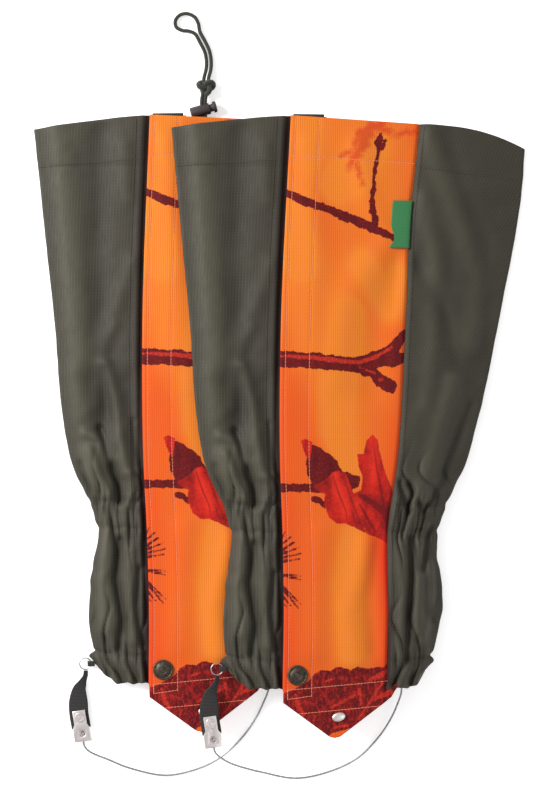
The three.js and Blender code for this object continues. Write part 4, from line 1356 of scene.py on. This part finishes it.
SNAP_PROFILE = [
    (7.4, 14.75), (7.8, 15.1), (7.85, 15.6), (7.5, 16.05), (6.9, 16.2), (6.5, 16.0),
    (6.25, 15.75), (5.9, 15.8), (5.5, 16.15), (4.6, 16.6), (3.4, 16.95), (2.9, 17.0),
    (2.6, 16.8), (2.3, 16.8), (2.0, 17.05), (1.0, 17.15), (0.05, 17.2),
]
OVAL_RIVET_PROFILE = [
    (1.5, 13.5), (1.5, 14.8), (5.0, 14.8), (5.2, 15.05), (5.0, 15.35), (4.2, 15.7),
    (2.8, 15.95), (1.4, 16.05), (0.05, 16.05),
]
LANCED_RIVET_PROFILE = [
    (1.5, 0.3), (1.5, 4.9), (3.6, 4.9), (3.7, 5.1), (3.5, 5.35), (2.9, 5.5), (2.3, 5.35),
    (1.6, 5.25), (0.9, 5.45), (0.05, 5.5),
]
FERRULE_PROFILE = [
    (0.8, 0), (1.0, 0.2), (1.0, 1.4), (0.86, 1.8), (0.86, 2.4), (1.0, 2.8), (1.0, 3.6),
    (0.86, 4.0), (0.86, 4.6), (1.0, 5.0), (1.0, 5.8), (0.8, 6),
]
EYELET_PROFILE = [
    (1.7, 0.3), (2.1, 0.1), (2.6, 0.3), (2.8, 0.8), (2.55, 1.3), (2.5, 3.2), (2.8, 3.8),
    (2.6, 4.2), (2.1, 4.4), (1.7, 4.2), (1.7, 0.3),
]
STRAP_Z = 2.3
RING_X, RING_Y = -50.25, 15
BUCKLE_MOVES = (spin(0.143), shift(-56, -21.5))
LIE_DOWN = spin(-math.pi / 2, "X")


def cord_channel(side):
    """The cloth tunnel that the drawcord leaves the top hem by."""
    looks = ("gaiter", "olive_cloth", OLIVE)
    eased_fitting(side, "cord_tunnel", "cord_channel", 0.3, looks, laid=True)


def snap(side):
    looks = ("aged_bronze", BRONZE)
    turned_fitting(side, "snap_cap", "domed_snap", ("flap", *looks), 56, SNAP_PROFILE,
                   [shift(11.5, 11)])
    eased_fitting(side, "snap_socket", "socket_ring", 0.15, ("flap", *looks))
    eased_fitting(side, "snap_stud", "snap_ball", 0.15, ("gaiter", *looks))
    eased_fitting(side, "snap_post", "snap_washer", 0.15, ("gaiter", *looks))


def lace_hook(side):
    looks = ("gaiter", "nickel", NICKEL)
    eased_fitting(side, "lace_hook", "bent_lace_hook", 0.3, looks)
    oval = Matrix.Diagonal((1, 0.66, 1, 1))
    turned_fitting(side, "lace_hook_rivet", "oval_rivet", looks, 40, OVAL_RIVET_PROFILE,
                   [oval, spin(0.24), shift(43.5, -21.5)])


def ring_and_tab(side):
    """A split ring of two turns of wire, held to the hem by a loop of webbing."""
    angle = np.linspace(0, 4 * np.pi, 96)
    points = np.stack([
        RING_X + 4.5 * np.cos(angle), RING_Y + 4.5 * np.sin(angle), STRAP_Z - 0.55 + angle * 0.0875
    ], 1)
    ring = place(side, tube(f"{side}_split_ring", points, 0.5, 10))
    settle(side, ring, "gaiter", "steel", STEEL, "hem_ring")
    looks = ("gaiter", "black_webbing", WEBBING)
    eased_fitting(side, "hem_ring_tab", "ring_loop", 0.15, looks, laid=True)


def foot_strap(side):
    """The black strap from the ring to the buckle, narrow and turned over at the ring."""
    spots = [(RING_X, 9.6), (-50.6, 5.6), (-53.2, -0.5), (-55.6, -7), (-56, -21.5), (-54, -35.4)]
    way, _ = smooth_route([(*spot, STRAP_Z) for spot in spots], 0.7)
    ahead = np.gradient(way, axis=0)
    ahead /= np.linalg.norm(ahead, axis=1)[:, None]
    v = np.linspace(0, 1, len(way))
    width = 4.5 + 10.5 * step(0.0, 0.62, v)
    tilt = 0.9 * step(0.42, 0.08, v)
    share = np.linspace(-0.5, 0.5, 13)
    cross = np.stack([ahead[:, 1], -ahead[:, 0]], 1) * np.cos(tilt)[:, None]
    flat = way[:, None, :2] + cross[:, None] * (share[None, :, None] * width[:, None, None])
    crown = 0.35 * np.cos(share * np.pi)[None, :] - 0.1
    z = STRAP_Z + crown + share[None, :] * 1.2 * np.sin(tilt)[:, None] * width[:, None] * 0.4
    grid = np.concatenate([flat, np.maximum(z, 1.2)[..., None]], -1)
    cut = np.stack([share[None, :] * 15 + 0 * z, v[:, None] * 46 + 0 * z], -1)
    obj = place(side, woven_sheet(f"{side}_webbing_strap", grid, cut, 1.5))
    settle(side, obj, "strap", "black_webbing", WEBBING, "foot_strap")


def shoulders(side):
    """Fills the plate's waist out to sloping shoulders above its wider foot."""
    turn, move = BUCKLE_MOVES
    flat = PLACES[side] @ Matrix.Diagonal((MM, MM, MM, 1)) @ move @ turn

    def widen(obj):
        for vertex in obj.data.vertices:
            spot = flat.inverted() @ vertex.co
            if abs(spot.x) > 3.1:
                reach = 4.7 + 1.9 * float(step(-9.5, -15, spot.y))
                spot.x = math.copysign(max(abs(spot.x), reach), spot.x)
                vertex.co = flat @ spot

    return widen


def buckle(side):
    """Both plates and their rivet, and the two steel ends that hold the foot cable."""
    plates = ("strap", "nickel", NICKEL)
    for node, name in (("buckle_plate", "buckle_front"), ("buckle_back", "buckle_base")):
        eased_fitting(side, node, name, 0.25, plates, reshape=shoulders(side))
    turned_fitting(side, "buckle_rivet", "lanced_rivet", plates, 36, LANCED_RIVET_PROFILE,
                   [shift(0, -5.5), *BUCKLE_MOVES])
    turned_fitting(side, "cable_ferrule", "crimped_ferrule", ("strap", "steel", STEEL), 20,
                   FERRULE_PROFILE, [LIE_DOWN, shift(0, -23.2, STRAP_Z), *BUCKLE_MOVES])
    turned_fitting(side, "cable_eyelet", "rolled_eyelet", ("gaiter", "steel", STEEL), 28,
                   EYELET_PROFILE, [LIE_DOWN, shift(94, 0, 4.1)], hollow=True)


# ---- cord lock and knot of the left drawcord ----

PRESS_WAY = (-0.961055, -0.276356, 0)


def cord_lock():
    """The lock's barrel and button, and its coil."""
    plastic = ("lock_plastic", PLASTIC)
    eased_fitting("left", "lock_body", "lock_barrel", 0.35, ("lock", *plastic))
    eased_fitting("left", "lock_plunger", "lock_button", 0.25, ("plunger", *plastic))
    coil = eased_fitting("left", "lock_spring", "lock_coil", 0.02, ("lock", "steel", STEEL))
    points = np.array([vertex.co for vertex in coil.data.vertices])
    along_axis = points @ np.array(PRESS_WAY)
    points[along_axis.argmax()]
    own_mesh(coil)


def overhand_knot():
    """The doubled cord tied in one bulky overhand knot."""
    t = np.linspace(0, 2 * np.pi, 90, endpoint=False)
    x = (np.sin(t) + 2 * np.sin(2 * t)) / 3
    y = (np.cos(t) - 2 * np.cos(2 * t)) / 3
    z = -np.sin(3 * t)
    middle = np.array([CORD_EXIT[0] + KNOT_AT[0], CORD_EXIT[1] + KNOT_AT[1], KNOT_AT[2]])
    points = np.stack([x * 6.2, y * 5.2, z * 2.2], 1) + middle
    obj = tube("left_overhand_knot", points, 2.1, 14, closed=True)
    settle("left", to_metres(obj), "gaiter", "cord", DRAWCORD, "knot")


# ---- making the pair ----

for one in SIDES:
    buckle(one)
    foot_cable(one)
overhand_knot()
drawcord_end()
cord_lock()
for one in SIDES:
    for make in (
        leg_cloth, front_cloth, front_stitching, leg_stitching, inner_bands, closing_strips,
        label, hem_drawcord, cord_channel, snap, lace_hook, ring_and_tab, foot_strap,
    ):
        make(one)


# ---- floor and light ----

bpy.ops.object.select_all(action="DESELECT")
bpy.ops.mesh.primitive_plane_add(size=8, location=(0, 0, -0.0006))
floor = bpy.context.object
floor.name = "pale_floor"
paper, _, _ = blank(
    "pale floor", Base_Color=(0.93, 0.93, 0.93, 1), Roughness=0.9,
    Emission_Color=(1, 1, 1, 1), Emission_Strength=0.5,
)
floor.data.materials.append(paper)


def soft_light(name, power, size, location):
    """A square lamp that looks at the middle of the floor."""
    bpy.ops.object.light_add(type="AREA", location=location)
    lamp = bpy.context.object
    lamp.name = name
    lamp.data.energy = power
    lamp.data.size = size
    lamp.rotation_euler = (-Vector(location)).to_track_quat("-Z", "Y").to_euler()


soft_light("window light", 52, 0.8, (-1.55, 0.75, 1.15))
soft_light("fill light", 5, 1.4, (1.2, -0.6, 1.6))
world = bpy.data.worlds.new("studio")
world.use_nodes = True
backdrop = world.node_tree.nodes["Background"].inputs
backdrop["Color"].default_value = (1, 1, 1, 1)
backdrop["Strength"].default_value = 0.5
bpy.context.scene.world = world
bpy.context.scene.view_settings.view_transform = "Standard"
